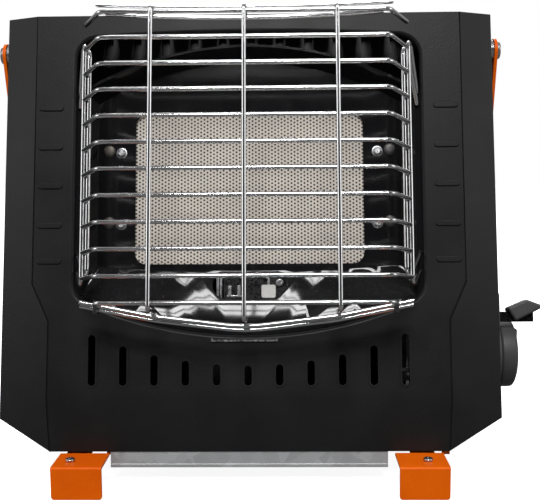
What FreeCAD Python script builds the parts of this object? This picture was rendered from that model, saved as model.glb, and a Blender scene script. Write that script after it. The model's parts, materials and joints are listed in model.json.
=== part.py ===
import FreeCAD, Part
import math
import os

# Lengths are millimetres, angles are degrees.
# Frame: +X to the heater's right as seen by the viewer, +Y to the back, +Z up.
# Shapes are drawn about the burner's middle plane and moved at the end, so that
# the origin is on the floor under the middle of the whole heater's box.
# Panel frame: x as above, d the depth behind the front face, h the height up along it.

# Stance and gaps
LEAN = 12.0
PANEL_Y = -43.0
PANEL_Z = 18.9
SHEET = 1.2
SEAM = 0.05
MOVE_GAP = 0.4
RUN_GAP = 0.05
SMALL_GAP = 0.1
SCREW_FIT = 0.01
TOUCH = 0.02
OVERCUT = 2.0
FAR = 200.0
BOX_MIDDLE_X = 9.0
BOX_MIDDLE_Y = 2.0

# Casing outline
HALF_WIDTH = 134.5
CREASE_TOP_X = 115.0
CREASE_LOW_X = 106.0
SKIRT_END_X = 105.3
FACET_DEPTH = 12.0
PANEL_BLOCK_DEPTH = 30.0
PANEL_HEIGHT = 235.0
JOG_TOP = 88.0
JOG_LOW = 68.0
BEND_HEIGHT = 27.0
BOTTOM_Z = 17.4
BEVEL_Z = 32.5
REAR_DEPTH = 53.0
REAR_PANEL_LOW = 93.0
SHIELD_DEPTH = 44.6
HOUSING_TOP = 100.1
HOUSING_REAR = 68.0
HOUSING_CORNER = 14.0
REAR_WALL_TOP = 45.4
VENT_STEPS = range(-5, 6)
VENT_WIDTH = 4.8
TOP_VENT_Y = (24.0, 46.0)
REAR_VENT = (150.0, 178.0)
SIDE_VENT_Z = (42.0, 68.0)
SIDE_VENT_FIRST_Y = 12.0
SIDE_VENT_PITCH = 12.0
SIDE_VENT_WIDTH = 4.0
LEVER_SLOT_HALF = 2.6
LEVER_SLOT_SPAN = (65.5, 79.8)
REAR_SCREW_X = 126.0
REAR_SCREW_HEIGHTS = (112.0, 170.0, 228.0)

# Opening in the front face
OPEN_HALF = 93.2
OPEN_TOP_SIDE = 222.0
OPEN_TOP_MID = 225.2
OPEN_BOTTOM_MID = 60.3
OPEN_BOTTOM_RADIUS = 219.0
OPEN_CORNER = 12.0
COLLAR_DEPTH = 4.0
ROLL_RADIUS = 2.0

# Vent slots and pressed ribs of the front face
SLOT_PITCH = 16.5
SLOT_WIDTH = 3.8
SLOT_BOTTOM = 34.4
SLOT_TOPS = (44.6, 45.2, 47.2, 50.2, 54.9, 60.9)
SLOT_RIM = 1.2
SLOT_RAISE = 0.4
EMBED = 0.5
RIB_X = 106.4
RIB_LENGTH = 13.3
RIB_WIDTH = 3.2
RIB_RAISE = 0.7
RIB_HEIGHTS = (100.2, 119.4, 140.8, 162.0, 183.5)

# Heat shield
SHIELD_LOW = 92.0
SHIELD_TAB = ((96.0, 106.0), 4.0)
SHIELD_PITCH = 16.9
SHIELD_SLOT_WIDTH = 4.8
SHIELD_SLOT_LOW = 219.5
SHIELD_SLOT_HIGH = 239.5

# Reflector dish
DISH_FRONT = 4.05
DISH_BACK = 17.0
DISH_SHEET = 1.2
DISH_HALF_FRONT = 90.0
DISH_HALF_BACK = 84.0
DISH_TOP_FRONT = (218.0, 193.0)
DISH_TOP_BACK = (213.0, 190.0)
DISH_LOW_FRONT = (62.0, 80.0)
DISH_LOW_BACK = (96.0, 99.0)
LIP_MARGIN = 8.0
WINDOW_HALF = 20.0
WINDOW_SPAN = (80.5, 95.5)
PRESSED_STRIP_X = (-19.4, 15.6)
PRESSED_STRIP_LOW = 57.3
PRESSED_STRIP_RAISE = 1.0
PRESSED_STRIP_WIDTH = 0.9

# Burner
PLAQUE_WIDTH = 132.0
PLAQUE_HEIGHT = 92.0
PLAQUE_DEPTH = 13.0
PLAQUE_MID = 142.0
PLAQUE_FRONT = 19.2
PLAQUE_CHAMFER = 0.5
VIEW_HALF = 63.2
VIEW_LOW = 99.7
VIEW_HIGH = 184.0
VIEW_CORNER = 6.5
GASKET = 1.2
GASKET_SHORT = 2.0
BOX_SHEET = 1.0
BOX_BACK = 43.5
EAR_END = 77.0
EAR_SHEET = 1.5
EAR_HALF = 6.0
BURNER_SCREW = 1.45
BURNER_SCREW_END = 22.5
BURNER_HEAD = (2.5, 1.8)
BURNER_WASHER = (3.5, 0.6)
CLEARANCE = 0.15
SCREW_POINTS = ((-71.0, 162.0), (71.0, 162.0), (-70.7, 121.8), (70.7, 121.8))

# Mixing tube, jet and pipe
VENTURI_DEPTH = 33.0
VENTURI_HEIGHT = 86.4
VENTURI_RADIUS = 7.0
VENTURI_SHEET = 1.0
VENTURI_X = (-8.0, 84.0)
FLARE_LENGTH = 10.0
FLARE_RISE = 2.0
RISER_DEPTH = 35.5
RISER_TOP = 95.6
RISER_RADIUS = 4.0
RISER_SHEET = 0.8
JET_X = (91.0, 96.0, 106.0)
JET_RADII = (1.5, 3.2)
JET_BORE = 0.5
PIPE_RADIUS = 2.0
PIPE_BEND = 6.0
PIPE_END_X = 101.5
JET_STRIP_X = (98.0, 112.0)
JET_STRIP_SHEET = 1.5
JET_STRIP_HALF = 6.0

# Cartridge and regulator, blocks given by their spans in x, y and z
FLOOR_Z = BOTTOM_Z + SHEET + SEAM
CARTRIDGE_Y = 28.0
CARTRIDGE_Z = 56.0
CARTRIDGE_RADIUS = 33.3
REGULATOR_BODY = ((103.0, 126.0), (-3.0, 46.0), (46.0, 72.0))
REGULATOR_STAND = ((98.5, 105.0), (12.0, 40.0), (FLOOR_Z, 47.0))
REGULATOR_CARRIER = ((103.0, 106.0), (-8.0, 64.0), (63.0, 85.0))
REGULATOR_EDGE = 3.0
REGULATOR_CAP = (97.0, 103.5, 19.0)
CAP_EDGE = 1.5
REGULATOR_FLANGE = (114.0, 118.0, 22.0)
REGULATOR_BOSS = (125.0, HALF_WIDTH - SHEET - SEAM, 9.0)
OUTLET_X = 117.0
OUTLET_Z = (70.0, 77.0)
OUTLET_RADIUS = 4.0
SEAT_X = (91.0, 97.0, 101.0)
SEAT_RADII = (8.0, 5.0)
SEAT_CUP = (94.5, 5.5)
SEAT_BORE = 1.2
GUIDE_POINTS = ((-3.0, 80.0), (59.0, 80.0))
GUIDE_RADIUS = 2.0
GUIDE_X = (78.0, 106.0)

# Knob
KNOB_DEPTH = 38.0
KNOB_HEIGHT = 50.6
KNOB_RADIUS = 19.0
KNOB_INNER_X = 137.8
KNOB_RIM_X = 145.8
KNOB_FACE_X = 149.2
KNOB_SOCKET_X = KNOB_RIM_X - 2.0
POINTER_X = 147.0
POINTER_HALF = 0.8
POINTER_RISE = (6.0, 13.0)
KNOB_GROOVES = 20
KNOB_GROOVE_RADIUS = 1.1
BEZEL_RADIUS = 20.0
BEZEL_EDGE = 1.2
SPINDLE_RADIUS = 4.0
SPINDLE_LOW_X = 112.5
SPINDLE_FIT = 0.005

# Cartridge lever and collar slide
LEVER_X = 126.0
LEVER_DEPTH = 22.0
LEVER_HEIGHT = 70.0
LEVER_SHEET = 3.0
LEVER_STRIP = (-2.6, 3.0)
LEVER_END_X = 155.0
LEVER_HUB = 5.0
LEVER_STUD = 2.0
CRANK_LENGTH = 11.0
CRANK_HALF = 3.0
CRANK_PIN = 1.5
CRANK_PIN_REACH = 3.4
STUD_DEPTH = 36.5
STUD_COLLAR = 4.0
PIVOT_PLATE = ((122.0, 132.0), (34.5, 36.5), (63.0, 76.0))
PIVOT_POST_X = (122.0, 126.0)
PIVOT_POST_TOP = 82.0
PADDLE_WIDTH = 10.0
PADDLE_EDGE = 1.4
PADDLE_OUTLINE = ((140.2, 74.9), (150.9, 79.5), (160.9, 75.7), (144.7, 67.7))
LEVER_BEZEL = ((HALF_WIDTH, HALF_WIDTH + 1.4), (16.0, 26.0), (63.5, 83.0))
LEVER_BEZEL_SLOT = ((HALF_WIDTH - 5.0, HALF_WIDTH + 5.0), (19.6, 24.4), (65.8, 79.6))
LEVER_BEZEL_EDGE = 1.5
SLIDE_X = 86.0
SLIDE_SHEET = 2.0
SLIDE_Y = (-8.0, 64.0)
SLIDE_Z = (41.5, 85.0)
SLIDE_NOTCH = 12.0
TAIL_GAP = 0.7
TAIL_LOW = LEVER_HEIGHT + 5.0
TAIL_WIDTH = 5.5
TAIL_REACH = 5.0
TAIL_HEAD = 6.0
TAIL_SLOT = (-3.6, 2.2, 3.6)
SLIDE_LINK_Y = 4.0
SLIDE_LINK_LOW = 80.0

# Igniter, spans in x, depth and height
PIEZO_BODY = ((103.0, 122.0), (-23.0, -3.5), (48.0, 62.0))
PIEZO_EDGE = 2.0
PIEZO_NOSE_X = (97.0, 103.5)
PIEZO_NOSE = (-14.0, 55.0)
PIEZO_NOSE_RADIUS = 3.5
LEAD_RADIUS = 1.2
LEAD_BEND = 4.0
LEAD_POINTS = ((96.9, -14.0, 55.0), (80.0, -14.0, 55.0), (30.0, -14.0, 72.0), (10.6, -10.0, 84.0))
LEAD_END = (10.6, 13.7, 79.9)
INSULATOR = ((6.8, 14.4), (11.2, 16.0), (80.8, 87.8))
INSULATOR_EDGE = 1.0
ELECTRODE_RADIUS = 0.7
ELECTRODE_BEND = 2.0
ELECTRODE_POINTS = ((10.6, 13.6, 82.0), (10.6, 13.6, 91.5), (4.0, 13.8, 94.5))
BRACKET_PLATE = ((-14.0, 19.0), (16.05, 16.85), (78.0, 91.8))
BRACKET_PRONGS = (-11.2, -6.2)
PRONG_WIDTH = 1.5
PRONG_DEPTH = (11.5, 16.5)
PRONG_HEIGHT = (81.2, 87.2)
IGNITER_SCREW_X = 16.6
IGNITER_SCREW_HEIGHT = 89.2
IGNITER_SCREW_DEPTH = (16.0, 21.0)
IGNITER_SCREW = 1.25
IGNITER_HEAD = (2.2, 1.8)
TUBE_X = (-17.2, -15.4)
TUBE_DEPTH = 14.6
TUBE_HEIGHT = (79.5, 92.2)
TUBE_RADIUS = 0.75

# Guard
WIRE = 1.15
ROW_COUNT = 12
ROW_LOW = 76.0
ROW_PITCH = 13.28
ROW_HALF = 72.8
GUARD_DEPTH = -40.0
SIDE_X = 84.2
SIDE_DEPTH = -20.0
UPRIGHT_X = (-46.6, 0.0, 46.6)
UPRIGHT_TOP_END = -28.0
UPRIGHT_LOW_END = -21.0
WIRE_BEND = 4.0
BOW_DEPTH = -24.0
BOW_POINTS = ((84.0, 77.3), (46.6, 69.9), (0.0, 64.3))
BOW_MID = 65.0
BOW_BEND = 100.0
BOW_SET_BACK = 1.6
BOW_DROP = 1.9
CLIP_X = 75.6
CLIP_HALF = 1.0
CLIP_DEPTH = (-2.0, 3.6)
CLIP_RISE = (-4.2, 2.4)
CLIP_SHEET = 0.65
# Side wires: x, low corner, high corner, rise of the low hook, drop of the high one
SIDE_WIRES = ((SIDE_X, 84.0, 219.0, 12.0, 28.0), (SIDE_X - 2.8, 86.5, 216.5, 18.0, 32.0))
# Bowed top wires: side of the tops, half width, depth at the ends, depth in the middle
TOP_WIRES = ((1, 75.0, -37.5, -32.6), (-1, 70.0, -37.4, -29.6))

# Handle
PIVOT_DEPTH = 20.0
PIVOT_HEIGHT = 219.5
BAIL_REACH = 90.0
BAIL_INNER_X = 136.8
BAIL_SHEET = 1.8
BAIL_WIDTH = 13.0
BAIL_CORNER = 10.0
GRIP_RADIUS = 8.0
GRIP_LENGTH = 150.0
GRIP_EDGE = 2.0
PIVOT_SCREW = 2.5
PIVOT_SPACER = 6.0
PIVOT_NUT = (5.0, 4.5)
PIVOT_HEAD = (4.7, 1.8)
HANDLE_GAP = 0.35
BAIL_REST = math.degrees(math.asin((REAR_DEPTH + GRIP_RADIUS + SMALL_GAP - PIVOT_DEPTH) / BAIL_REACH))

# Lid over the cartridge bay
HINGE_Y = 31.5
HINGE_Z = 98.0
KNUCKLE_RADIUS = 2.1
PIN_RADIUS = 1.25
LID_LEFT = -132.9
LID_RIGHT = 95.7
LID_FRONT_Y = 34.0
LID_LOW = 46.0
LID_KNUCKLES = ((-110.0, -80.0), (-36.0, -6.0), (56.0, 86.0))
LID_TAB_X = (-38.0, 2.0)
LID_TAB_REACH = 7.0
BRACKET_KNUCKLES = ((-79.5, -64.0), (40.0, 55.5))
BRACKET_TAB_REACH = 3.2
BRACKET_TAB_RISE = 0.9
BRACKET_HEIGHT = (93.2, 104.0)
PIN_X = (-112.0, 88.0)
LATCH_X = (-24.0, -12.0)
LATCH_SHEET = 1.0
LATCH_SET_IN = 1.6
LATCH_LOW = 30.0
LATCH_DIP = 4.0
LATCH_RISE = 6.0

# Cradle, stop and base channel
CRADLE_GAP = 1.5
CRADLE_SHEET = 1.2
CRADLE_X = (-98.0, 84.0)
CRADLE_DROP = 16.0
CRADLE_STANDS = (-70.0, 56.0)
CRADLE_STAND_HALF = (8.0, 14.0)
CRADLE_STAND_DROP = 32.0
STOP_X = (-102.0, -101.0)
STOP_HALF = 15.0
STOP_RISE = 12.0
STOP_FOOT = (3.0, 1.0)
CHANNEL_HALF = 73.2
CHANNEL_SHEET = 1.0
CHANNEL_GAP = 0.6
CHANNEL_BACK = 60.0
CHANNEL_LOW = 8.7
HEM_RISE = 1.8

# Feet
FOOT_FRONT_Y = -60.5
FOOT_TOP = 17.0
FOOT_SHEET = 1.5
FOOT_DEPTH = 22.0
FOOT_BEND = 1.2
FOOT_CORNER = 1.6
FOOT_SPAN = {"left_foot": (-99.2, -73.3), "right_foot": (76.6, 101.9)}
FOOT_SCREW_X = {"left_foot": -91.1, "right_foot": 92.0}
FOOT_SCREW_Y = -51.1
FOOT_SCREW = 2.0
FOOT_SCREW_LOW = 9.0
FOOT_HEAD = (2.4, 1.3)
FOOT_HEAD_GAP = 0.35
FOOT_NUT = (10.2, 4.0)
TONGUE_HALF = 6.4
FOOT_SWEEP = 24.0
TONGUE_TOP = 15.1
PAD_DEPTH = 14.0
WING_DEPTH = 8.0
EAR_DROP = 5.2
EARS = {"left_foot": (-77.2, -74.0), "right_foot": (103.0, 107.2)}
REAR_FOOT_X = 100.0
REAR_FOOT_Y = 53.0
REAR_FOOT_RADIUS = 8.5
REAR_FOOT_TAPER = 1.5
REAR_FOOT_WELL = (4.5, 6.0)
REAR_FOOT_SCREW = 1.6
REAR_FOOT_HEAD = (3.4, 2.0)
REAR_HEAD = (3.2, 1.8)

SIN = math.sin(math.radians(LEAN))
COS = math.cos(math.radians(LEAN))
TOP_Z = PANEL_Z + PANEL_HEIGHT * COS
X_AXIS = FreeCAD.Vector(1, 0, 0)
Y_AXIS = FreeCAD.Vector(0, 1, 0)
Z_AXIS = FreeCAD.Vector(0, 0, 1)
CENTRE = FreeCAD.Vector(0, 0, 0)


def vec(x, y, z):
    return FreeCAD.Vector(x, y, z)


def lean(shape):
    """Puts a shape drawn in the panel frame into the heater's frame."""
    placed = shape.copy()
    placed.rotate(CENTRE, X_AXIS, -LEAN)
    placed.translate(vec(0, PANEL_Y, PANEL_Z))
    return placed


def height_at(z, depth):
    """Height along the panel of world height z, at a depth behind the face."""
    return (z - PANEL_Z + depth * SIN) / COS


def world_y(depth, height):
    return PANEL_Y + height * SIN + depth * COS


def world_z(depth, height):
    return PANEL_Z + height * COS - depth * SIN


def world_at(depth, height):
    return world_y(depth, height), world_z(depth, height)


def fuse(shapes):
    first = shapes[0]
    if len(shapes) == 1:
        return first
    return first.fuse(shapes[1:]).removeSplitter()


def group(shapes):
    return Part.makeCompound(shapes)


def box(x0, x1, y0, y1, z0, z1):
    return Part.makeBox(x1 - x0, y1 - y0, z1 - z0, vec(x0, y0, z0))


def block(spans):
    """A box from its spans along the three axes."""
    (x0, x1), (y0, y1), (z0, z1) = spans
    return box(x0, x1, y0, y1, z0, z1)


def rod(start, end, radius):
    """A round bar between two points."""
    axis = end.sub(start)
    return Part.makeCylinder(radius, axis.Length, start, axis)


def x_rod(left, right, at, radius):
    """A round bar along x, through a point in the other two directions."""
    return rod(vec(left, *at), vec(right, *at), radius)


def pipe(start, end, outer, inner):
    axis = end.sub(start).normalize()
    bore = rod(start.sub(axis), end.add(axis), inner)
    return rod(start, end, outer).cut(bore)


def face_of(points):
    """A flat face through three-dimensional corner points."""
    return Part.Face(Part.makePolygon(points + [points[0]]))


def plate_xh(points, front, back):
    """A plate with its outline in x and height, from depth front to back."""
    outline = face_of([vec(x, front, h) for x, h in points])
    return outline.extrude(vec(0, back - front, 0))


def edges_along(shape, axis):
    """The edges that run straight along an axis."""
    return [e for e in shape.Edges if abs(e.tangentAt(e.FirstParameter).dot(axis)) > 0.99]


def rims(shape, axis, beyond):
    """The round rims that lie beyond a distance along an axis."""
    return [e for e in shape.Edges if e.Closed and e.CenterOfMass.dot(axis) > beyond]


def slot_xh(x, low, high, width, front, back):
    """An upright round-ended slot through the panel."""
    r = width / 2
    middle = box(x - r, x + r, front, back, low + r, high - r)
    lower = rod(vec(x, front, low + r), vec(x, back, low + r), r)
    upper = rod(vec(x, front, high - r), vec(x, back, high - r), r)
    return fuse([middle, lower, upper])


def bar_xh(x, h, length, width, front, back):
    """A level round-ended bar raised from the panel."""
    r = width / 2
    run = length / 2 - r
    middle = box(x - run, x + run, front, back, h - r, h + r)
    left = rod(vec(x - run, front, h), vec(x - run, back, h), r)
    right = rod(vec(x + run, front, h), vec(x + run, back, h), r)
    return fuse([middle, left, right])


def bent_wire(points, radius, bend):
    """A round wire along straight runs with rounded bends."""
    edges = []
    start = points[0]
    for before, corner, after in zip(points, points[1:], points[2:]):
        into = before.sub(corner).normalize()
        out = after.sub(corner).normalize()
        half = into.getAngle(out) / 2
        reach = bend / math.tan(half)
        first = corner + into * reach
        last = corner + out * reach
        middle_way = (into + out).normalize()
        apex = corner + middle_way * (bend / math.sin(half) - bend)
        edges.append(Part.makeLine(start, first))
        edges.append(Part.Arc(first, apex, last).toShape())
        start = last
    edges.append(Part.makeLine(start, points[-1]))
    return sweep(edges, radius)


def sweep(edges, radius):
    path = Part.Wire(edges)
    first = edges[0]
    start = first.valueAt(first.FirstParameter)
    along = first.tangentAt(first.FirstParameter)
    ring = Part.Wire(Part.makeCircle(radius, start, along))
    return path.makePipeShell([ring], True, False)


def arc_wire(start, middle, end, radius):
    return sweep([Part.Arc(start, middle, end).toShape()], radius)


def pan_head(base, outward, radius, height):
    """A screw head with a rounded edge and a cross recess."""
    head = Part.makeCylinder(radius, height, base, outward)
    head = head.makeFillet(height * 0.45, rims(head, outward, base.dot(outward) + height / 2))
    arm = radius * 0.55
    thin = radius * 0.13
    deep = -height / 2
    level = box(-arm, arm, -thin, thin, deep, OVERCUT)
    upright = box(-thin, thin, -arm, arm, deep, OVERCUT)
    cross = fuse([level, upright])
    cross.Placement = FreeCAD.Placement(base + outward * height, FreeCAD.Rotation(Z_AXIS, outward))
    return head.cut(cross)


def save(name, shape):
    """Moves a finished shape to the origin's frame and writes it."""
    placed = shape.copy()
    placed.translate(vec(-BOX_MIDDLE_X, -BOX_MIDDLE_Y, 0))
    placed.exportStep("parts/" + name + ".step")


def front_solid(back):
    """The block behind the faceted front, down to a depth."""
    skirt_depth = BEND_HEIGHT * SIN * COS - (BOTTOM_Z - PANEL_Z) * SIN

    def corners(side):
        outer = side * HALF_WIDTH
        low = side * CREASE_LOW_X
        end = side * SKIRT_END_X
        return {
            "crease top": vec(side * CREASE_TOP_X, 0, PANEL_HEIGHT),
            "jog top": vec(side * CREASE_TOP_X, 0, JOG_TOP),
            "jog low": vec(low, 0, JOG_LOW),
            "bend": vec(low, 0, BEND_HEIGHT),
            "skirt": vec(end, skirt_depth, height_at(BOTTOM_Z, skirt_depth)),
            "edge top": vec(outer, FACET_DEPTH, height_at(TOP_Z, FACET_DEPTH)),
            "edge high": vec(outer, FACET_DEPTH, JOG_TOP),
            "edge mid": vec(outer, FACET_DEPTH, JOG_LOW),
            "edge low": vec(outer, FACET_DEPTH, height_at(BEVEL_Z, FACET_DEPTH)),
            "back top": vec(outer, back, height_at(TOP_Z, back)),
            "back low": vec(outer, back, height_at(BEVEL_Z, back)),
            "back end": vec(end, back, height_at(BOTTOM_Z, back)),
        }

    left = corners(-1)
    right = corners(1)
    sides = (
        ("crease top", "edge top", "edge high", "jog top"),
        ("jog top", "edge high", "jog low"),
        ("jog low", "edge high", "edge mid"),
        ("jog low", "edge mid", "edge low", "bend"),
        ("bend", "edge low", "skirt"),
        ("edge top", "edge high", "edge mid", "edge low", "back low", "back top"),
        ("edge low", "skirt", "back end", "back low"),
    )
    across = (
        ("crease top", "jog top", "jog low", "bend"),
        ("bend", "skirt"),
        ("skirt", "back end"),
        ("crease top", "edge top", "back top"),
        ("back top", "back low", "back end"),
    )
    loops = []
    for names in sides:
        loops.append([right[n] for n in names])
        loops.append([left[n] for n in reversed(names)])
    for names in across:
        loops.append([right[n] for n in names] + [left[n] for n in reversed(names)])
    inside = vec(0, (FACET_DEPTH + back) / 2, PANEL_HEIGHT / 2)
    faces = []
    for loop in loops:
        face = face_of(loop)
        if face.normalAt(0, 0).dot(face.CenterOfMass - inside) < 0:
            face = face_of(loop[::-1])
        faces.append(face)
    solid = Part.makeSolid(Part.makeShell(faces))
    if solid.Volume < 0:
        solid.reverse()
    return solid


def opening_block(grow, front, back):
    """The rounded opening's outline as a block, grown by an amount."""
    half = OPEN_HALF + grow
    radius = OPEN_BOTTOM_RADIUS + grow
    bottom = OPEN_BOTTOM_MID - grow
    side_low = bottom + radius - math.sqrt(radius ** 2 - half ** 2)
    top_left = vec(-half, front, OPEN_TOP_SIDE + grow)
    top_right = vec(half, front, OPEN_TOP_SIDE + grow)
    low_left = vec(-half, front, side_low)
    low_right = vec(half, front, side_low)
    edges = [
        Part.Arc(top_left, vec(0, front, OPEN_TOP_MID + grow), top_right).toShape(),
        Part.makeLine(top_right, low_right),
        Part.Arc(low_right, vec(0, front, bottom), low_left).toShape(),
        Part.makeLine(low_left, top_left),
    ]
    body = Part.Face(Part.Wire(edges)).extrude(vec(0, back - front, 0))
    return body.makeFillet(OPEN_CORNER + grow, edges_along(body, Y_AXIS))


def front_slots():
    """Raised rims of the front's lower slots, and the slots themselves."""
    raised = []
    slots = []
    for k in VENT_STEPS:
        x = k * SLOT_PITCH
        top = SLOT_TOPS[abs(k)]
        width = SLOT_WIDTH + 2 * SLOT_RIM
        raised.append(slot_xh(x, SLOT_BOTTOM - SLOT_RIM, top + SLOT_RIM, width, -SLOT_RAISE, EMBED))
        slots.append(slot_xh(x, SLOT_BOTTOM, top, SLOT_WIDTH, -OVERCUT, 2 * OVERCUT))
    return raised, slots


def pressed_ribs():
    ribs = []
    for side in (-1, 1):
        for h in RIB_HEIGHTS:
            rib = bar_xh(side * RIB_X, h, RIB_LENGTH, RIB_WIDTH, -RIB_RAISE, EMBED)
            front = [e for e in rib.Edges if abs(e.BoundBox.YMax + RIB_RAISE) < TOUCH]
            ribs.append(rib.makeFillet(RIB_RAISE * 0.7, front))
    return ribs


def mouth_edge(panel):
    """The front edge of the opening, without its corner arcs."""
    edge = []
    for e in panel.Edges:
        b = e.BoundBox
        flat = abs(b.YMin) < TOUCH and abs(b.YMax) < TOUCH
        across = abs(b.Center.x) < OPEN_HALF + 1
        upward = b.Center.z > OPEN_BOTTOM_MID - 1 and b.ZMax < OPEN_TOP_MID + 1
        if flat and across and upward and e.Length > OPEN_CORNER:
            edge.append(e)
    return edge


def front_panel():
    """Faceted front with its rolled opening, vent slots and pressed ribs."""
    front = front_solid(PANEL_BLOCK_DEPTH)
    inner = front.copy()
    inner.translate(vec(0, SHEET * COS, SHEET * SIN))
    collar = opening_block(SHEET, EMBED, COLLAR_DEPTH)
    roll = opening_block(ROLL_RADIUS + EMBED, EMBED, ROLL_RADIUS + EMBED)
    raised, slots = front_slots()
    panel = front.cut(inner).fuse([collar, roll] + raised + pressed_ribs())
    panel = panel.cut([opening_block(0, -OVERCUT, COLLAR_DEPTH + OVERCUT)] + slots)
    return lean(panel.makeFillet(ROLL_RADIUS, mouth_edge(panel)))


def casing_outline(inset):
    """Cross-section of the casing in x and z, drawn in by an amount."""
    points = []
    for side in (-1, 1):
        pairs = [(HALF_WIDTH, TOP_Z), (HALF_WIDTH, BEVEL_Z), (SKIRT_END_X, BOTTOM_Z)]
        row = [vec(side * x, 0, z) for x, z in pairs]
        points += row if side < 0 else row[::-1]
    face = face_of(points)
    return face.makeOffset2D(-inset) if inset else face


def housing_profile(inset):
    """Side outline of the casing's back, in y and z."""
    rear_high = world_y(REAR_DEPTH - inset, height_at(TOP_Z, REAR_DEPTH - inset))
    rear_low = world_y(REAR_DEPTH - inset, height_at(HOUSING_TOP - inset, REAR_DEPTH - inset))
    r = HOUSING_CORNER - inset
    top = HOUSING_TOP - inset
    back = HOUSING_REAR - inset
    bend = r * (1 - math.sqrt(0.5))
    front = 2 * PANEL_Y

    def at(y, z):
        return vec(0, y, z)

    edges = [
        Part.makeLine(at(front, 0), at(front, TOP_Z + 1)),
        Part.makeLine(at(front, TOP_Z + 1), at(rear_high, TOP_Z + 1)),
        Part.makeLine(at(rear_high, TOP_Z + 1), at(rear_low, top)),
        Part.makeLine(at(rear_low, top), at(back - r, top)),
        Part.Arc(at(back - r, top), at(back - bend, top - bend), at(back, top - r)).toShape(),
        Part.makeLine(at(back, top - r), at(back, 0)),
        Part.makeLine(at(back, 0), at(front, 0)),
    ]
    return Part.Face(Part.Wire(edges))


def profile_block(inset, left, right):
    body = housing_profile(inset).extrude(vec(right - left, 0, 0))
    body.translate(vec(left, 0, 0))
    return body


def side_vents():
    """Upright round-ended slots through the left wall."""
    low, high = SIDE_VENT_Z
    r = SIDE_VENT_WIDTH / 2
    inner = -HALF_WIDTH + 2 * OVERCUT
    outer = -HALF_WIDTH - 2 * OVERCUT
    vents = []
    for k in range(4):
        y = SIDE_VENT_FIRST_Y + k * SIDE_VENT_PITCH
        span = box(outer, inner, y - r, y + r, low + r, high - r)
        ends = [rod(vec(outer, y, z), vec(inner, y, z), r) for z in (low + r, high - r)]
        vents.append(fuse([span] + ends))
    return vents


def top_vents():
    low, high = TOP_VENT_Y
    vents = []
    for k in VENT_STEPS:
        vent = slot_xh(k * SLOT_PITCH, low, high, VENT_WIDTH, -OVERCUT, OVERCUT)
        vent.rotate(CENTRE, X_AXIS, -90)
        vent.translate(vec(0, 0, TOP_Z))
        vents.append(vent)
    return vents


def casing():
    """Sides, top, bevels and bottom, folded from one sheet."""
    front = front_solid(FAR)
    front.translate(vec(0, (SHEET + SEAM) * COS, (SHEET + SEAM) * SIN))
    hollow = casing_outline(SHEET).extrude(vec(0, 2 * FAR, 0))
    hollow.translate(vec(0, -FAR, 0))
    shell = lean(front).cut(hollow).common(profile_block(0, -HALF_WIDTH - 1, HALF_WIDTH + 1))
    inside = HALF_WIDTH - 2 * OVERCUT
    outside = HALF_WIDTH + 2 * OVERCUT
    near = LEVER_DEPTH - LEVER_SLOT_HALF
    far = LEVER_DEPTH + LEVER_SLOT_HALF
    cuts = [
        x_rod(inside, outside, world_at(KNOB_DEPTH, KNOB_HEIGHT), SPINDLE_RADIUS + 1),
        x_rod(-outside, outside, world_at(PIVOT_DEPTH, PIVOT_HEIGHT), PIVOT_SCREW),
        lean(block(((inside, outside), (near, far), LEVER_SLOT_SPAN))),
    ]
    return shell.cut(cuts + top_vents() + side_vents())


def rear_panel():
    top = height_at(TOP_Z - SHEET - SEAM, REAR_DEPTH - SHEET)
    half = HALF_WIDTH - SHEET - SEAM
    plate = box(-half, half, REAR_DEPTH - SHEET, REAR_DEPTH, REAR_PANEL_LOW, top)
    low, high = REAR_VENT
    front = REAR_DEPTH - SHEET - OVERCUT
    back = REAR_DEPTH + OVERCUT
    vents = [slot_xh(k * SLOT_PITCH, low, high, VENT_WIDTH, front, back) for k in VENT_STEPS]
    return lean(plate.cut(vents))


def heat_shield():
    """Slotted plate behind the burner, on two tabs from the rear panel."""
    half = HALF_WIDTH - SHEET - 3
    top = height_at(TOP_Z - SHEET - MOVE_GAP, SHIELD_DEPTH)
    back = SHIELD_DEPTH + BOX_SHEET
    (low, high), width = SHIELD_TAB
    parts = [box(-half, half, SHIELD_DEPTH, back, SHIELD_LOW, top)]
    for left in (-half, half - width):
        parts.append(box(left, left + width, back, REAR_DEPTH - SHEET - SEAM, low, high))
    cuts = []
    for k in VENT_STEPS:
        x = k * SHIELD_PITCH
        front = SHIELD_DEPTH - OVERCUT
        cuts.append(slot_xh(x, SHIELD_SLOT_LOW, SHIELD_SLOT_HIGH, SHIELD_SLOT_WIDTH, front, back + OVERCUT))
    return lean(fuse(parts).cut(cuts))


def dish_loop(half, top, low, depth):
    """Outline of the dish at a depth, arched at top and bottom."""
    top_mid, top_side = top
    low_mid, low_side = low
    a = vec(-half, depth, top_side)
    b = vec(half, depth, top_side)
    c = vec(half, depth, low_side)
    e = vec(-half, depth, low_side)
    return Part.Wire([
        Part.Arc(a, vec(0, depth, top_mid), b).toShape(),
        Part.makeLine(b, c),
        Part.Arc(c, vec(0, depth, low_mid), e).toShape(),
        Part.makeLine(e, a),
    ])


def dish_block(grow):
    def loop(half, top, low, depth):
        wide_top = [h + grow for h in top]
        wide_low = [h - grow for h in low]
        return dish_loop(half + grow, wide_top, wide_low, depth)

    front = loop(DISH_HALF_FRONT, DISH_TOP_FRONT, DISH_LOW_FRONT, DISH_FRONT)
    back = loop(DISH_HALF_BACK, DISH_TOP_BACK, DISH_LOW_BACK, DISH_BACK + grow)
    return Part.makeLoft([front, back], True, True)


def view_window(grow, front, back):
    x = VIEW_HALF + grow
    body = box(-x, x, front, back, VIEW_LOW - grow, VIEW_HIGH + grow)
    return body.makeFillet(VIEW_CORNER + grow, edges_along(body, Y_AXIS))


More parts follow.
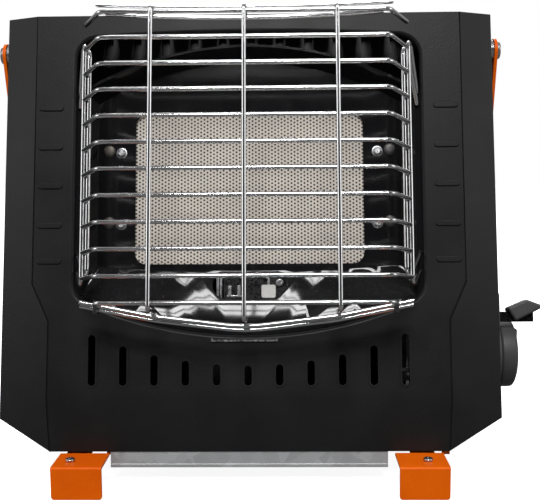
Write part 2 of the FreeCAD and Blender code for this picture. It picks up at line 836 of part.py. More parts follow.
def igniter_window():
    """Level round-ended hole under the plaque."""
    low, high = WINDOW_SPAN
    r = (high - low) / 2
    run = WINDOW_HALF - r
    middle = (low + high) / 2
    shapes = [box(-run, run, 0, BOX_BACK, low, high)]
    for x in (-run, run):
        shapes.append(rod(vec(x, 0, middle), vec(x, BOX_BACK, middle), r))
    return fuse(shapes)


def reflector():
    """Enamelled dish with a flat lip behind the opening's sides and bottom."""
    back = DISH_FRONT + DISH_SHEET
    dish = dish_block(DISH_SHEET).cut(dish_block(0))
    rim = dish_loop(DISH_HALF_FRONT, DISH_TOP_FRONT, DISH_LOW_FRONT, 0)
    mouth = Part.Face(rim).extrude(vec(0, BOX_BACK, 0))
    lip = opening_block(LIP_MARGIN, DISH_FRONT, back)
    above = box(-FAR, FAR, 0, BOX_BACK, DISH_TOP_FRONT[1], FAR + PANEL_HEIGHT)
    cuts = [view_window(0, DISH_BACK - OVERCUT, DISH_BACK + OVERCUT), igniter_window()]
    for x, h in SCREW_POINTS:
        cuts.append(rod(vec(x, 0, h), vec(x, BOX_BACK, h), BURNER_SCREW + CLEARANCE))
    return lean(dish.fuse(lip.cut([mouth, above])).cut(cuts))


def plaque_span(grow):
    x = PLAQUE_WIDTH / 2 + grow
    z = PLAQUE_HEIGHT / 2 + grow
    return -x, x, PLAQUE_MID - z, PLAQUE_MID + z


def ceramic_plaque():
    x0, x1, h0, h1 = plaque_span(0)
    plaque = box(x0, x1, PLAQUE_FRONT, PLAQUE_FRONT + PLAQUE_DEPTH, h0, h1)
    return lean(plaque.makeChamfer(PLAQUE_CHAMFER, plaque.Edges))


def plaque_gasket():
    x0, x1, h0, h1 = plaque_span(GASKET)
    outer = box(x0, x1, PLAQUE_FRONT, PLAQUE_FRONT + PLAQUE_DEPTH - GASKET_SHORT, h0, h1)
    x0, x1, h0, h1 = plaque_span(SEAM)
    return lean(outer.cut(box(x0, x1, 0, BOX_BACK, h0, h1)))


def burner_box():
    """Mixing box behind the plaque, open in front, with two side ears."""
    x0, x1, h0, h1 = plaque_span(GASKET + SEAM + BOX_SHEET)
    front = DISH_BACK + DISH_SHEET + SEAM
    outer = box(x0, x1, front, BOX_BACK, h0, h1)
    x0, x1, h0, h1 = plaque_span(GASKET + SEAM)
    hollow = box(x0, x1, 0, BOX_BACK - BOX_SHEET, h0, h1)
    ears = []
    cuts = [hollow]
    for x, h in SCREW_POINTS:
        across = sorted((math.copysign(EAR_END, x), math.copysign(PLAQUE_WIDTH / 2, x)))
        ears.append(block((across, (front, front + EAR_SHEET), (h - EAR_HALF, h + EAR_HALF))))
        cuts.append(rod(vec(x, 0, h), vec(x, BOX_BACK, h), BURNER_SCREW + SEAM))
    low = vec(0, RISER_DEPTH, h0 - OVERCUT)
    high = vec(0, RISER_DEPTH, h0 + OVERCUT)
    cuts.append(rod(low, high, RISER_RADIUS + TOUCH))
    return lean(fuse([outer] + ears).cut(cuts))


def burner_screws():
    washer_radius, washer_sheet = BURNER_WASHER
    screws = []
    for x, h in SCREW_POINTS:
        front = vec(x, DISH_BACK - washer_sheet, h)
        washer = pipe(front, vec(x, DISH_BACK, h), washer_radius, BURNER_SCREW + CLEARANCE)
        head = pan_head(front, vec(0, -1, 0), *BURNER_HEAD)
        shank = rod(front, vec(x, BURNER_SCREW_END, h), BURNER_SCREW)
        screws.append(fuse([washer.cut(shank), head, shank]))
    return lean(group(screws))


def venturi_tube():
    """Level mixing tube with a flared mouth and a short riser into the box."""
    left, right = VENTURI_X
    at = (VENTURI_DEPTH, VENTURI_HEIGHT)
    outer_radius = VENTURI_RADIUS
    bore_radius = VENTURI_RADIUS - VENTURI_SHEET
    mouth = vec(right, *at)
    low = vec(0, RISER_DEPTH, VENTURI_HEIGHT)
    high = vec(0, RISER_DEPTH, RISER_TOP)
    tube = x_rod(left, right, at, outer_radius)
    flare = Part.makeCone(outer_radius, outer_radius + FLARE_RISE, FLARE_LENGTH, mouth, X_AXIS)
    outer = fuse([tube, flare, rod(low, high, RISER_RADIUS)])
    bore = x_rod(left + VENTURI_SHEET, right, at, bore_radius)
    flare_bore = Part.makeCone(bore_radius, bore_radius + FLARE_RISE, FLARE_LENGTH, mouth, X_AXIS)
    riser_bore = rod(low, high + Z_AXIS, RISER_RADIUS - RISER_SHEET)
    return lean(outer.cut([bore, flare_bore, riser_bore]))


def gas_jet():
    tip, shoulder, end = JET_X
    tip_radius, radius = JET_RADII
    at = (VENTURI_DEPTH, VENTURI_HEIGHT)
    nozzle = Part.makeCone(tip_radius, radius, shoulder - tip, vec(tip, *at), X_AXIS)
    body = x_rod(shoulder, end, at, radius)
    bore = x_rod(tip - 1, end, at, JET_BORE)
    socket = x_rod(PIPE_END_X - EMBED, end + 1, at, PIPE_RADIUS + RUN_GAP)
    return lean(fuse([nozzle, body]).cut([bore, socket]))


def gas_pipe():
    """Pipe up from the regulator's outlet and across to the jet."""
    y, z = world_at(VENTURI_DEPTH, VENTURI_HEIGHT)
    start = vec(OUTLET_X, y, OUTLET_Z[0])
    return bent_wire([start, vec(OUTLET_X, y, z), vec(PIPE_END_X, y, z)], PIPE_RADIUS, PIPE_BEND)


def jet_bracket():
    """Bent strip that holds the jet in line with the mixing tube."""
    left, right = JET_STRIP_X
    half = JET_STRIP_HALF
    h = VENTURI_HEIGHT
    back = SHIELD_DEPTH - SEAM
    plate = box(left, left + JET_STRIP_SHEET, VENTURI_DEPTH - half, back, h - half, h + 2 * half)
    tail = box(left, right, back - JET_STRIP_SHEET, back, h + half, h + 3 * half)
    hole = x_rod(left - 1, right + 1, (VENTURI_DEPTH, h), JET_RADII[1] + TOUCH)
    return lean(fuse([plate, tail]).cut(hole))


def regulator():
    """Cast body with its cap, flange, boss, outlet, stand and guide carrier."""
    y = world_y(VENTURI_DEPTH, VENTURI_HEIGHT)
    spindle = world_at(KNOB_DEPTH, KNOB_HEIGHT)
    axis = (CARTRIDGE_Y, CARTRIDGE_Z)
    low, high = OUTLET_Z
    body = block(REGULATOR_BODY)
    body = body.makeFillet(REGULATOR_EDGE, edges_along(body, X_AXIS))
    left, right, radius = REGULATOR_CAP
    cap = x_rod(left, right, axis, radius)
    cap = cap.makeFillet(CAP_EDGE, rims(cap, vec(-1, 0, 0), -left - 1))
    left, right, radius = REGULATOR_FLANGE
    flange = x_rod(left, right, axis, radius)
    left, right, radius = REGULATOR_BOSS
    boss = x_rod(left, right, spindle, radius)
    outlet = rod(vec(OUTLET_X, y, low), vec(OUTLET_X, y, high), OUTLET_RADIUS)
    cuts = [
        x_rod(SPINDLE_LOW_X - EMBED, HALF_WIDTH, spindle, SPINDLE_RADIUS + RUN_GAP),
        rod(vec(OUTLET_X, y, low - SMALL_GAP), vec(OUTLET_X, y, high + OVERCUT), PIPE_RADIUS + TOUCH),
        x_rod(SEAT_X[0], SEAT_X[2], axis, SEAT_RADII[1] + TOUCH),
    ]
    for at in GUIDE_POINTS:
        cuts.append(x_rod(REGULATOR_CAP[0], GUIDE_X[1] + OVERCUT, at, GUIDE_RADIUS + TOUCH))
    parts = [body, cap, flange, boss, outlet, block(REGULATOR_STAND), block(REGULATOR_CARRIER)]
    return fuse(parts).cut(cuts)


def cartridge_seat():
    """Brass seat with a round cup that takes the cartridge's valve."""
    left, shoulder, right = SEAT_X
    head, stem = SEAT_RADII
    cup_end, cup_radius = SEAT_CUP
    axis = (CARTRIDGE_Y, CARTRIDGE_Z)
    body = fuse([x_rod(left, shoulder, axis, head), x_rod(shoulder, right, axis, stem)])
    cup = x_rod(left - 1, cup_end, axis, cup_radius)
    return body.cut([cup, x_rod(left - 1, right + 1, axis, SEAT_BORE)])


def slide_guides():
    left, right = GUIDE_X
    return group([x_rod(left, right, at, GUIDE_RADIUS) for at in GUIDE_POINTS])


def collar_slide():
    """Fork round the cartridge's collar, with a tail to the lever's crank."""
    x0 = SLIDE_X
    x1 = SLIDE_X + SLIDE_SHEET
    before = x0 - OVERCUT
    after = x1 + OVERCUT
    axis = (CARTRIDGE_Y, CARTRIDGE_Z)
    y_span = (CARTRIDGE_Y - SLIDE_NOTCH, CARTRIDGE_Y + SLIDE_NOTCH)
    notch = block(((before, after), y_span, (CARTRIDGE_Z, SLIDE_Z[1] + 1)))
    fork = block(((x0, x1), SLIDE_Y, SLIDE_Z)).cut([x_rod(before, after, axis, SLIDE_NOTCH), notch])
    front = LEVER_DEPTH + LEVER_SHEET / 2 + TAIL_GAP
    back = front + SLIDE_SHEET
    pin_height = LEVER_HEIGHT + CRANK_LENGTH
    end_x = LEVER_X + TAIL_REACH
    tail = box(x0, end_x, front, back, TAIL_LOW, TAIL_LOW + TAIL_WIDTH)
    end = box(LEVER_X - TAIL_HEAD, end_x, front, back, TAIL_LOW, pin_height + TAIL_REACH)
    below, above, width = TAIL_SLOT
    slot = slot_xh(LEVER_X, pin_height + below, pin_height + above, width, 0, BOX_BACK)
    arm = lean(fuse([tail, end]).cut(slot))
    link_top = world_z(back, TAIL_LOW) + 1
    link = box(x0, x1, world_y(front, TAIL_LOW), SLIDE_LINK_Y, SLIDE_LINK_LOW, link_top)
    holes = [x_rod(before, after, at, GUIDE_RADIUS + RUN_GAP) for at in GUIDE_POINTS]
    return fuse([fork, arm, link]).cut(holes)


def lever_strip():
    """The lever's flat strip, from its hub out through the side wall."""
    low, high = LEVER_STRIP
    depth = (LEVER_DEPTH - LEVER_SHEET / 2, LEVER_DEPTH + LEVER_SHEET / 2)
    return block(((LEVER_X, LEVER_END_X), depth, (LEVER_HEIGHT + low, LEVER_HEIGHT + high)))


def lever_arm():
    """Bell crank: a strip out through the wall, a short arm up and a pin."""
    x = LEVER_X
    h = LEVER_HEIGHT
    front = LEVER_DEPTH - LEVER_SHEET / 2
    back = LEVER_DEPTH + LEVER_SHEET / 2
    pin_height = h + CRANK_LENGTH
    hub = rod(vec(x, front, h), vec(x, back, h), LEVER_HUB)
    crank = box(x - CRANK_HALF, x + CRANK_HALF, front, back, h, pin_height)
    tip = rod(vec(x, front, pin_height), vec(x, back, pin_height), CRANK_HALF)
    pin = rod(vec(x, front, pin_height), vec(x, back + CRANK_PIN_REACH, pin_height), CRANK_PIN)
    body = fuse([hub, lever_strip(), crank, tip, pin])
    return lean(body.cut(rod(vec(x, 0, h), vec(x, BOX_BACK, h), LEVER_STUD + RUN_GAP)))


def lever_pivot():
    """Fixed stud that carries the lever, on a strip down to the regulator."""
    x = LEVER_X
    h = LEVER_HEIGHT
    front = LEVER_DEPTH - LEVER_SHEET / 2
    start = vec(x, front - STUD_COLLAR, h)
    stud = rod(start, vec(x, STUD_DEPTH, h), LEVER_STUD)
    collar = rod(start, vec(x, front - MOVE_GAP, h), STUD_COLLAR)
    carrier = lean(fuse([stud, collar, block(PIVOT_PLATE)]))
    y = world_y(PIVOT_PLATE[1][0], PIVOT_PLATE[2][0])
    post_z = (REGULATOR_BODY[2][1] + SEAM, PIVOT_POST_TOP)
    return fuse([carrier, block((PIVOT_POST_X, (y - 1, y + LEVER_SHEET), post_z))])


def lever_paddle():
    front = LEVER_DEPTH - PADDLE_WIDTH / 2
    back = LEVER_DEPTH + PADDLE_WIDTH / 2
    body = plate_xh(PADDLE_OUTLINE, front, back)
    return lean(body.makeFillet(PADDLE_EDGE, body.Edges).cut(lever_strip()))


def lever_bezel():
    """Plate round the lever's slot in the side wall."""
    outer = block(LEVER_BEZEL)
    outer = outer.makeFillet(LEVER_BEZEL_EDGE, edges_along(outer, X_AXIS))
    round_cut = knob_rod(HALF_WIDTH - 1, KNOB_INNER_X, BEZEL_RADIUS + MOVE_GAP)
    return lean(outer.cut([round_cut, block(LEVER_BEZEL_SLOT)]))


def knob_rod(left, right, radius):
    return x_rod(left, right, (KNOB_DEPTH, KNOB_HEIGHT), radius)


def knob_bezel():
    outer = knob_rod(HALF_WIDTH, KNOB_INNER_X - MOVE_GAP, BEZEL_RADIUS)
    outer = outer.makeFillet(BEZEL_EDGE, rims(outer, X_AXIS, HALF_WIDTH + 1))
    return lean(outer.cut(knob_rod(HALF_WIDTH - 1, KNOB_INNER_X, SPINDLE_RADIUS + 1)))


def knob():
    """Round knob with a shallow dome, a grooved rim and a pointer groove."""
    rise = KNOB_FACE_X - KNOB_RIM_X
    ball = (KNOB_RADIUS ** 2 + rise ** 2) / (2 * rise)
    dome = Part.makeSphere(ball, vec(KNOB_FACE_X - ball, KNOB_DEPTH, KNOB_HEIGHT))
    body = knob_rod(KNOB_INNER_X, KNOB_FACE_X + 1, KNOB_RADIUS).common(dome)
    reach = KNOB_RADIUS + KNOB_GROOVE_RADIUS / 2
    cuts = [knob_rod(KNOB_INNER_X - 1, KNOB_SOCKET_X, SPINDLE_RADIUS)]
    for k in range(KNOB_GROOVES):
        turn = 2 * math.pi * k / KNOB_GROOVES
        at = (KNOB_DEPTH + reach * math.sin(turn), KNOB_HEIGHT + reach * math.cos(turn))
        cuts.append(x_rod(KNOB_INNER_X - 1, KNOB_FACE_X + 1, at, KNOB_GROOVE_RADIUS))
    low, high = POINTER_RISE
    depth = (KNOB_DEPTH - POINTER_HALF, KNOB_DEPTH + POINTER_HALF)
    cuts.append(block(((POINTER_X, KNOB_FACE_X + 1), depth, (KNOB_HEIGHT + low, KNOB_HEIGHT + high))))
    return lean(body.cut(cuts))


def knob_spindle():
    return lean(knob_rod(SPINDLE_LOW_X, KNOB_SOCKET_X - RUN_GAP, SPINDLE_RADIUS - SPINDLE_FIT))


def piezo_unit():
    """Push igniter beside the regulator, with a nose for its lead."""
    left, right = PIEZO_NOSE_X
    body = block(PIEZO_BODY)
    body = body.makeFillet(PIEZO_EDGE, edges_along(body, X_AXIS))
    return fuse([body, x_rod(left, right, PIEZO_NOSE, PIEZO_NOSE_RADIUS)])


def ignition_lead():
    """Insulated wire behind the apron, from the igniter to the electrode."""
    x, depth, height = LEAD_END
    points = [vec(*point) for point in LEAD_POINTS]
    points.append(vec(x, *world_at(depth, height)))
    return bent_wire(points, LEAD_RADIUS, LEAD_BEND)


def electrode_insulator():
    body = block(INSULATOR)
    body = body.makeFillet(INSULATOR_EDGE, edges_along(body, Y_AXIS))
    x, depth, _ = ELECTRODE_POINTS[0]
    low, high = INSULATOR[2]
    bore = rod(vec(x, depth, low - 1), vec(x, depth, high + 1), ELECTRODE_RADIUS + TOUCH)
    return lean(body.cut(bore))


def electrode_wire():
    points = [vec(*point) for point in ELECTRODE_POINTS]
    return lean(bent_wire(points, ELECTRODE_RADIUS, ELECTRODE_BEND))


def igniter_bracket():
    """Bent plate behind the window, with two prongs."""
    x = IGNITER_SCREW_X
    h = IGNITER_SCREW_HEIGHT
    prongs = [block(((left, left + PRONG_WIDTH), PRONG_DEPTH, PRONG_HEIGHT)) for left in BRACKET_PRONGS]
    hole = rod(vec(x, 0, h), vec(x, BOX_BACK, h), IGNITER_SCREW + RUN_GAP)
    return lean(fuse([block(BRACKET_PLATE)] + prongs).cut(hole))


def igniter_screw():
    front, back = IGNITER_SCREW_DEPTH
    start = vec(IGNITER_SCREW_X, front, IGNITER_SCREW_HEIGHT)
    end = vec(IGNITER_SCREW_X, back, IGNITER_SCREW_HEIGHT)
    head = pan_head(start, vec(0, -1, 0), *IGNITER_HEAD)
    return lean(fuse([head, rod(start, end, IGNITER_SCREW)]))


def sensor_tubes():
    low, high = TUBE_HEIGHT
    tubes = [rod(vec(x, TUBE_DEPTH, low), vec(x, TUBE_DEPTH, high), TUBE_RADIUS) for x in TUBE_X]
    return lean(group(tubes))


def opening_lip():
    """Small plain strip under the opening, with turned-up ends."""
    left, right = PRESSED_STRIP_X
    low = PRESSED_STRIP_LOW
    depth = (-PRESSED_STRIP_RAISE, -TOUCH)
    width = PRESSED_STRIP_WIDTH
    strip = block(((left, right), depth, (low, low + width)))
    ends = [block(((x, x + width), depth, (low, low + 2 * width))) for x in (left, right - width)]
    return lean(fuse([strip] + ends))


def wrap_height():
    """Height of the uprights' tops, bent back over the highest row."""
    return ROW_LOW + (ROW_COUNT - 1) * ROW_PITCH + 2 * (WIRE + TOUCH)


def mirrored(points):
    return [vec(-x, d, h) for x, d, h in points] + [vec(x, d, h) for x, d, h in reversed(points)]


def guard_rows():
    """Level wires with both ends bent back, the lowest one to the clips."""
    rows = []
    for k in range(ROW_COUNT):
        h = ROW_LOW + k * ROW_PITCH
        corner = vec(ROW_HALF, GUARD_DEPTH, h)
        target = vec(SIDE_X, SIDE_DEPTH, h)
        if k == 0:
            target = vec(CLIP_X, BOW_DEPTH - 2 * WIRE, h)
        end = target - (target - corner).normalize() * (WIRE + TOUCH)
        rows.append(bent_wire(mirrored([(end.x, end.y, h), (ROW_HALF, GUARD_DEPTH, h)]), WIRE, WIRE_BEND))
    return lean(group(rows))


def guard_uprights():
    """Three upright wires in front of the rows, bent back at both ends."""
    wires = []
    front = GUARD_DEPTH - 2 * (WIRE + TOUCH)
    top = wrap_height()
    for x in UPRIGHT_X:
        low = BOW_MID if x == 0 else BOW_POINTS[1][1]
        low = low + 2 * WIRE + SMALL_GAP
        back_top = vec(x, UPRIGHT_TOP_END, top)
        back_low = vec(x, UPRIGHT_LOW_END, low)
        points = [back_top, vec(x, front, top), vec(x, front, low), back_low]
        wires.append(bent_wire(points, WIRE, 2 * (WIRE + TOUCH)))
    return lean(group(wires))


def guard_side_wires():
    """A pair of upright wires on each side, hooked back to the reflector's lip."""
    wires = []
    reach = DISH_FRONT - TOUCH - WIRE
    hook_x = OPEN_HALF - WIRE - MOVE_GAP
    for side in (-1, 1):
        for x, low, high, rise, drop in SIDE_WIRES:
            points = [
                vec(side * hook_x, reach, low + rise),
                vec(side * x, SIDE_DEPTH, low),
                vec(side * x, SIDE_DEPTH, high),
                vec(side * hook_x, reach, high - drop),
            ]
            wires.append(bent_wire(points, WIRE, WIRE_BEND))
    return lean(group(wires))


def guard_top_wires():
    """Two bowed wires, above and below the bent-back tops of the uprights."""
    wires = []
    for side, half, end_depth, mid_depth in TOP_WIRES:
        h = wrap_height() + side * (2 * WIRE + TOUCH)
        left = vec(-half, end_depth, h)
        right = vec(half, end_depth, h)
        wires.append(arc_wire(left, vec(0, mid_depth, h), right, WIRE))
    return lean(group(wires))


def bow_wire(depth, drop):
    points = [vec(-x, depth, h - drop) for x, h in BOW_POINTS]
    points += [vec(x, depth, h - drop) for x, h in reversed(BOW_POINTS[:-1])]
    return bent_wire(points, WIRE, BOW_BEND)


def guard_bottom_wires():
    """Two bowed wires, one close behind the other, under the uprights."""
    return lean(group([bow_wire(BOW_DEPTH, 0), bow_wire(BOW_DEPTH + BOW_SET_BACK, BOW_DROP)]))


def guard_clips():
    """Two small bands that tie the bowed wires together."""
    (far_x, far_h), (near_x, near_h) = BOW_POINTS[:2]
    h = near_h + (CLIP_X - near_x) * (far_h - near_h) / (far_x - near_x)
    front, back = [BOW_DEPTH + depth for depth in CLIP_DEPTH]
    low, high = [h + rise for rise in CLIP_RISE]
    clips = []
    for x in (-CLIP_X, CLIP_X):
        outer = box(x - CLIP_HALF, x + CLIP_HALF, front, back, low, high)
        depth = (front + CLIP_SHEET, back - CLIP_SHEET)
        inner = block(((x - OVERCUT, x + OVERCUT), depth, (low + CLIP_SHEET, high - CLIP_SHEET)))
        clips.append(outer.cut(inner))
    return lean(group(clips))


def bail_frame(shape):
    """Turns a shape drawn hanging along -h at the pivot into its resting place."""
    placed = shape.copy()
    placed.rotate(CENTRE, X_AXIS, BAIL_REST)
    placed.translate(vec(0, PIVOT_DEPTH, PIVOT_HEIGHT))
    return lean(placed)


def bail_corners(body, radius):
    """Rounds the two corners at the far end of the handle's outline."""
    low = [e for e in edges_along(body, Y_AXIS) if e.BoundBox.ZMax < -1]
    return body.makeFillet(radius, low)


def handle_bail():
    """Flat strip bent to a U, with round eyes at the pivots."""
    inner = BAIL_INNER_X
    outer = BAIL_INNER_X + BAIL_SHEET
    half = BAIL_WIDTH / 2
    outside = box(-outer, outer, -half, half, -BAIL_REACH - BAIL_SHEET / 2, 0)
    inside = box(-inner, inner, -half - 1, half + 1, -BAIL_REACH + BAIL_SHEET / 2, BAIL_WIDTH)
    strip = bail_corners(outside, BAIL_CORNER + BAIL_SHEET).cut(bail_corners(inside, BAIL_CORNER))
    eyes = [x_rod(left, left + BAIL_SHEET, (0, 0), half) for left in (-outer, inner)]
    hole = x_rod(-outer - 1, outer + 1, (0, 0), PIVOT_SCREW + RUN_GAP)
    return bail_frame(fuse([strip] + eyes).cut(hole))


def handle_grip():
    half = GRIP_LENGTH / 2
    grip = x_rod(-half, half, (0, -BAIL_REACH), GRIP_RADIUS)
    ends = [e for e in grip.Edges if e.Closed and abs(e.CenterOfMass.x) > half - 1]
    grip = grip.makeFillet(GRIP_EDGE, ends)
    width = (-BAIL_WIDTH / 2, BAIL_WIDTH / 2)
    thickness = (-BAIL_REACH - BAIL_SHEET / 2, -BAIL_REACH + BAIL_SHEET / 2)
    return bail_frame(grip.cut(block(((-half - 1, half + 1), width, thickness))))


def pivot_rod(side, near, far, radius):
    """A round bar on the handle's pivot line, between two distances from the middle."""
    return x_rod(side * near, side * far, world_at(PIVOT_DEPTH, PIVOT_HEIGHT), radius)


def handle_screws():
    """Pivot screws with their spacers and nuts, one on each side."""
    inner = BAIL_INNER_X - HANDLE_GAP
    outer = BAIL_INNER_X + BAIL_SHEET + HANDLE_GAP
    nut_depth, nut_radius = PIVOT_NUT
    low = HALF_WIDTH - nut_depth
    screws = []
    for side in (-1, 1):
        start = vec(side * outer, *world_at(PIVOT_DEPTH, PIVOT_HEIGHT))
        head = pan_head(start, vec(side, 0, 0), *PIVOT_HEAD)
        spacer = pivot_rod(side, HALF_WIDTH, inner, PIVOT_SPACER)
        shaft = pivot_rod(side, low - 1, outer + SMALL_GAP, PIVOT_SCREW - SCREW_FIT)
        nut = pivot_rod(side, low, HALF_WIDTH - SHEET - SEAM, nut_radius)
        screws.append(fuse([spacer, shaft, nut, head]))
    return group(screws)


def housing_shell(left, right):
    """Bent sheet along the casing's back outline, between two x positions."""
    return profile_block(0, left, right).cut(profile_block(SHEET, left - 1, right + 1))


def cartridge_lid():
    """Lid with three rolled knuckles and a finger tab."""
    top = HOUSING_TOP
    keep = box(LID_LEFT, LID_RIGHT, LID_FRONT_Y, HOUSING_REAR + 1, LID_LOW, top + 1)
    parts = [housing_shell(LID_LEFT, LID_RIGHT).common(keep)]
    for left, right in LID_KNUCKLES:
        parts.append(x_rod(left, right, (HINGE_Y, HINGE_Z), KNUCKLE_RADIUS))
        parts.append(box(left, right, HINGE_Y, LID_FRONT_Y + 1, top - SHEET, top))
    reach = (HOUSING_REAR - EMBED, HOUSING_REAR + LID_TAB_REACH)
    parts.append(block((LID_TAB_X, reach, (LID_LOW, LID_LOW + SHEET))))
    bore = x_rod(LID_LEFT, LID_RIGHT, (HINGE_Y, HINGE_Z), PIN_RADIUS + RUN_GAP)
    return fuse(parts).cut(bore)


def hinge_brackets():
    """Fixed knuckles between those of the lid, with plates on the rear panel."""
    front = REAR_DEPTH + SEAM
    ahead = lean(box(-FAR, FAR, 0, front, 0, PANEL_HEIGHT))
    low = HINGE_Z + BRACKET_TAB_RISE
    high = HINGE_Z + KNUCKLE_RADIUS
    brackets = []
    for left, right in BRACKET_KNUCKLES:
        knuckle = x_rod(left, right, (HINGE_Y, HINGE_Z), KNUCKLE_RADIUS)
        tab = box(left, right, HINGE_Y - BRACKET_TAB_REACH, HINGE_Y, low, high)
        plate = lean(block(((left, right), (front, front + SHEET), BRACKET_HEIGHT)))
        bore = x_rod(left - 1, right + 1, (HINGE_Y, HINGE_Z), PIN_RADIUS + SCREW_FIT)
        brackets.append(fuse([knuckle, tab, plate]).cut([ahead, bore]))
    return group(brackets)


def lid_pin():
    left, right = PIN_X
    return x_rod(left, right, (HINGE_Y, HINGE_Z), PIN_RADIUS)


def regulator_cover():
    """Fixed end of the housing, over the regulator."""
    left = LID_RIGHT + MOVE_GAP
    right = HALF_WIDTH - SHEET - SEAM
    behind = lean(box(left, right, REAR_DEPTH + SEAM, FAR, 0, FAR))
    band = box(left, right, 0, HOUSING_REAR + 1, REAR_WALL_TOP + SEAM, HOUSING_TOP + 1)
    return housing_shell(left, right).common(behind.common(band))


def rear_wall():
    half = HALF_WIDTH - SHEET - SEAM
    wall = box(-half, half, HOUSING_REAR - SHEET, HOUSING_REAR, FLOOR_Z, REAR_WALL_TOP)
    outline = casing_outline(SHEET + SEAM).extrude(vec(0, 2 * FAR, 0))
    return wall.common(outline)


def latch_clip():
    """Spring strip inside the low rear wall that holds the closed lid."""
    wall = HOUSING_REAR - SHEET
    nose_back = wall - LATCH_SET_IN
    nose_front = nose_back - LATCH_SHEET
    low = REAR_WALL_TOP - LATCH_DIP
    strip = block((LATCH_X, (wall - LATCH_SHEET, wall - SEAM), (LATCH_LOW, REAR_WALL_TOP)))
    step = block((LATCH_X, (nose_front, wall - SEAM), (low, low + LATCH_SHEET)))
    nose = block((LATCH_X, (nose_front, nose_back), (low, REAR_WALL_TOP + LATCH_RISE)))
    return fuse([strip, step, nose])


def bay_cradle():
    """Curved trough for the cartridge, on two low blocks."""
    left, right = CRADLE_X
    y = CARTRIDGE_Y
    z = CARTRIDGE_Z
    inner = CARTRIDGE_RADIUS + CRADLE_GAP
    outer = inner + CRADLE_SHEET
    half_x, half_y = CRADLE_STAND_HALF
    trough = pipe(vec(left, y, z), vec(right, y, z), outer, inner)
    trough = trough.common(box(left - 1, right + 1, y - outer, y + outer, 0, z - CRADLE_DROP))
    core = x_rod(left, right, (y, z), inner + CRADLE_SHEET / 2)
    parts = [trough]
    for x in CRADLE_STANDS:
        stand = box(x - half_x, x + half_x, y - half_y, y + half_y, FLOOR_Z, z - CRADLE_STAND_DROP)
        parts.append(stand.cut(core))
    return fuse(parts)


def bay_stop():
    """Spring plate at the blind end of the bay."""
    left, right = STOP_X
    reach, sheet = STOP_FOOT
    across = (CARTRIDGE_Y - STOP_HALF, CARTRIDGE_Y + STOP_HALF)
    plate = block(((left, right), across, (FLOOR_Z, CARTRIDGE_Z + STOP_RISE)))
    tail = block(((left - reach, right), across, (FLOOR_Z, FLOOR_Z + sheet)))
    return fuse([plate, tail])


def base_channel():
    """Galvanised strip under the casing, its flanges hemmed."""
    top = BOTTOM_Z - SEAM
    half = CHANNEL_HALF
    sheet = CHANNEL_SHEET
    low = CHANNEL_LOW
    front = world_y(0, BEND_HEIGHT) + CHANNEL_GAP
    parts = [box(-half, half, front, CHANNEL_BACK, top - sheet, top)]
    for y in (front, CHANNEL_BACK - sheet):
        parts.append(box(-half, half, y, y + sheet, low, top))
        parts.append(box(-half, half, y - sheet / 2, y + sheet + sheet / 2, low, low + HEM_RISE))
    return fuse(parts)


def foot(name):
    """Orange foot: a flange under the front edge and a web down to the floor."""
    left, right = FOOT_SPAN[name]
    front = FOOT_FRONT_Y
    flange = box(left, right, front, front + FOOT_DEPTH, FOOT_TOP - FOOT_SHEET, FOOT_TOP)
    web = box(left, right, front, front + FOOT_SHEET, 0, FOOT_TOP)
    web = web.makeFillet(FOOT_CORNER, [e for e in edges_along(web, Y_AXIS) if e.BoundBox.ZMax < 1])
    body = fuse([flange, web])
    high = [e for e in edges_along(body, X_AXIS) if e.BoundBox.ZMin > FOOT_TOP - TOUCH]
    body = body.makeFillet(FOOT_BEND, [e for e in high if e.BoundBox.YMax < front + TOUCH])
    x = FOOT_SCREW_X[name]
    hole = rod(vec(x, FOOT_SCREW_Y, 0), vec(x, FOOT_SCREW_Y, FOOT_TOP + 1), FOOT_SCREW + RUN_GAP)
    return body.cut(hole)


def foot_brackets():
    """Fixed tongues under the feet's flanges, stepped up to the casing's bottom."""
    sheet = FOOT_SHEET
    low = TONGUE_TOP - sheet
    top = BOTTOM_Z - SEAM
    y = FOOT_SCREW_Y
    step_y = y + FOOT_SWEEP
    brackets = []
    for name, ear in EARS.items():
        x = FOOT_SCREW_X[name]
        span = (x - TONGUE_HALF, x + TONGUE_HALF)
        reach = (min(span[0], ear[0]), max(span[1], ear[1]))
        body = fuse([
            block((span, (y, step_y), (low, TONGUE_TOP))),
            rod(vec(x, y, low), vec(x, y, TONGUE_TOP), TONGUE_HALF),
            block((span, (step_y - sheet, step_y), (low, top))),
            block((span, (step_y - sheet, step_y + PAD_DEPTH), (top - sheet, top))),
            block((reach, (step_y, step_y + WING_DEPTH), (top - sheet, top))),
            block((ear, (step_y, step_y + sheet), (top - EAR_DROP, top))),
        ])
        brackets.append(body.cut(rod(vec(x, y, 0), vec(x, y, top), FOOT_SCREW)))
    return group(brackets)


def foot_screws():
    """Pivot screws of the front feet, with their nuts."""
    y = FOOT_SCREW_Y
    nut_low, nut_radius = FOOT_NUT
    head_z = FOOT_TOP + FOOT_HEAD_GAP
    nut_top = TONGUE_TOP - FOOT_SHEET - TOUCH
    screws = []
    for x in FOOT_SCREW_X.values():
        head = pan_head(vec(x, y, head_z), Z_AXIS, *FOOT_HEAD)
        shank = rod(vec(x, y, FOOT_SCREW_LOW), vec(x, y, head_z + SMALL_GAP), FOOT_SCREW - SCREW_FIT)
        nut = rod(vec(x, y, nut_low), vec(x, y, nut_top), nut_radius)
        screws.append(fuse([head, shank, nut]))
    return group(screws)


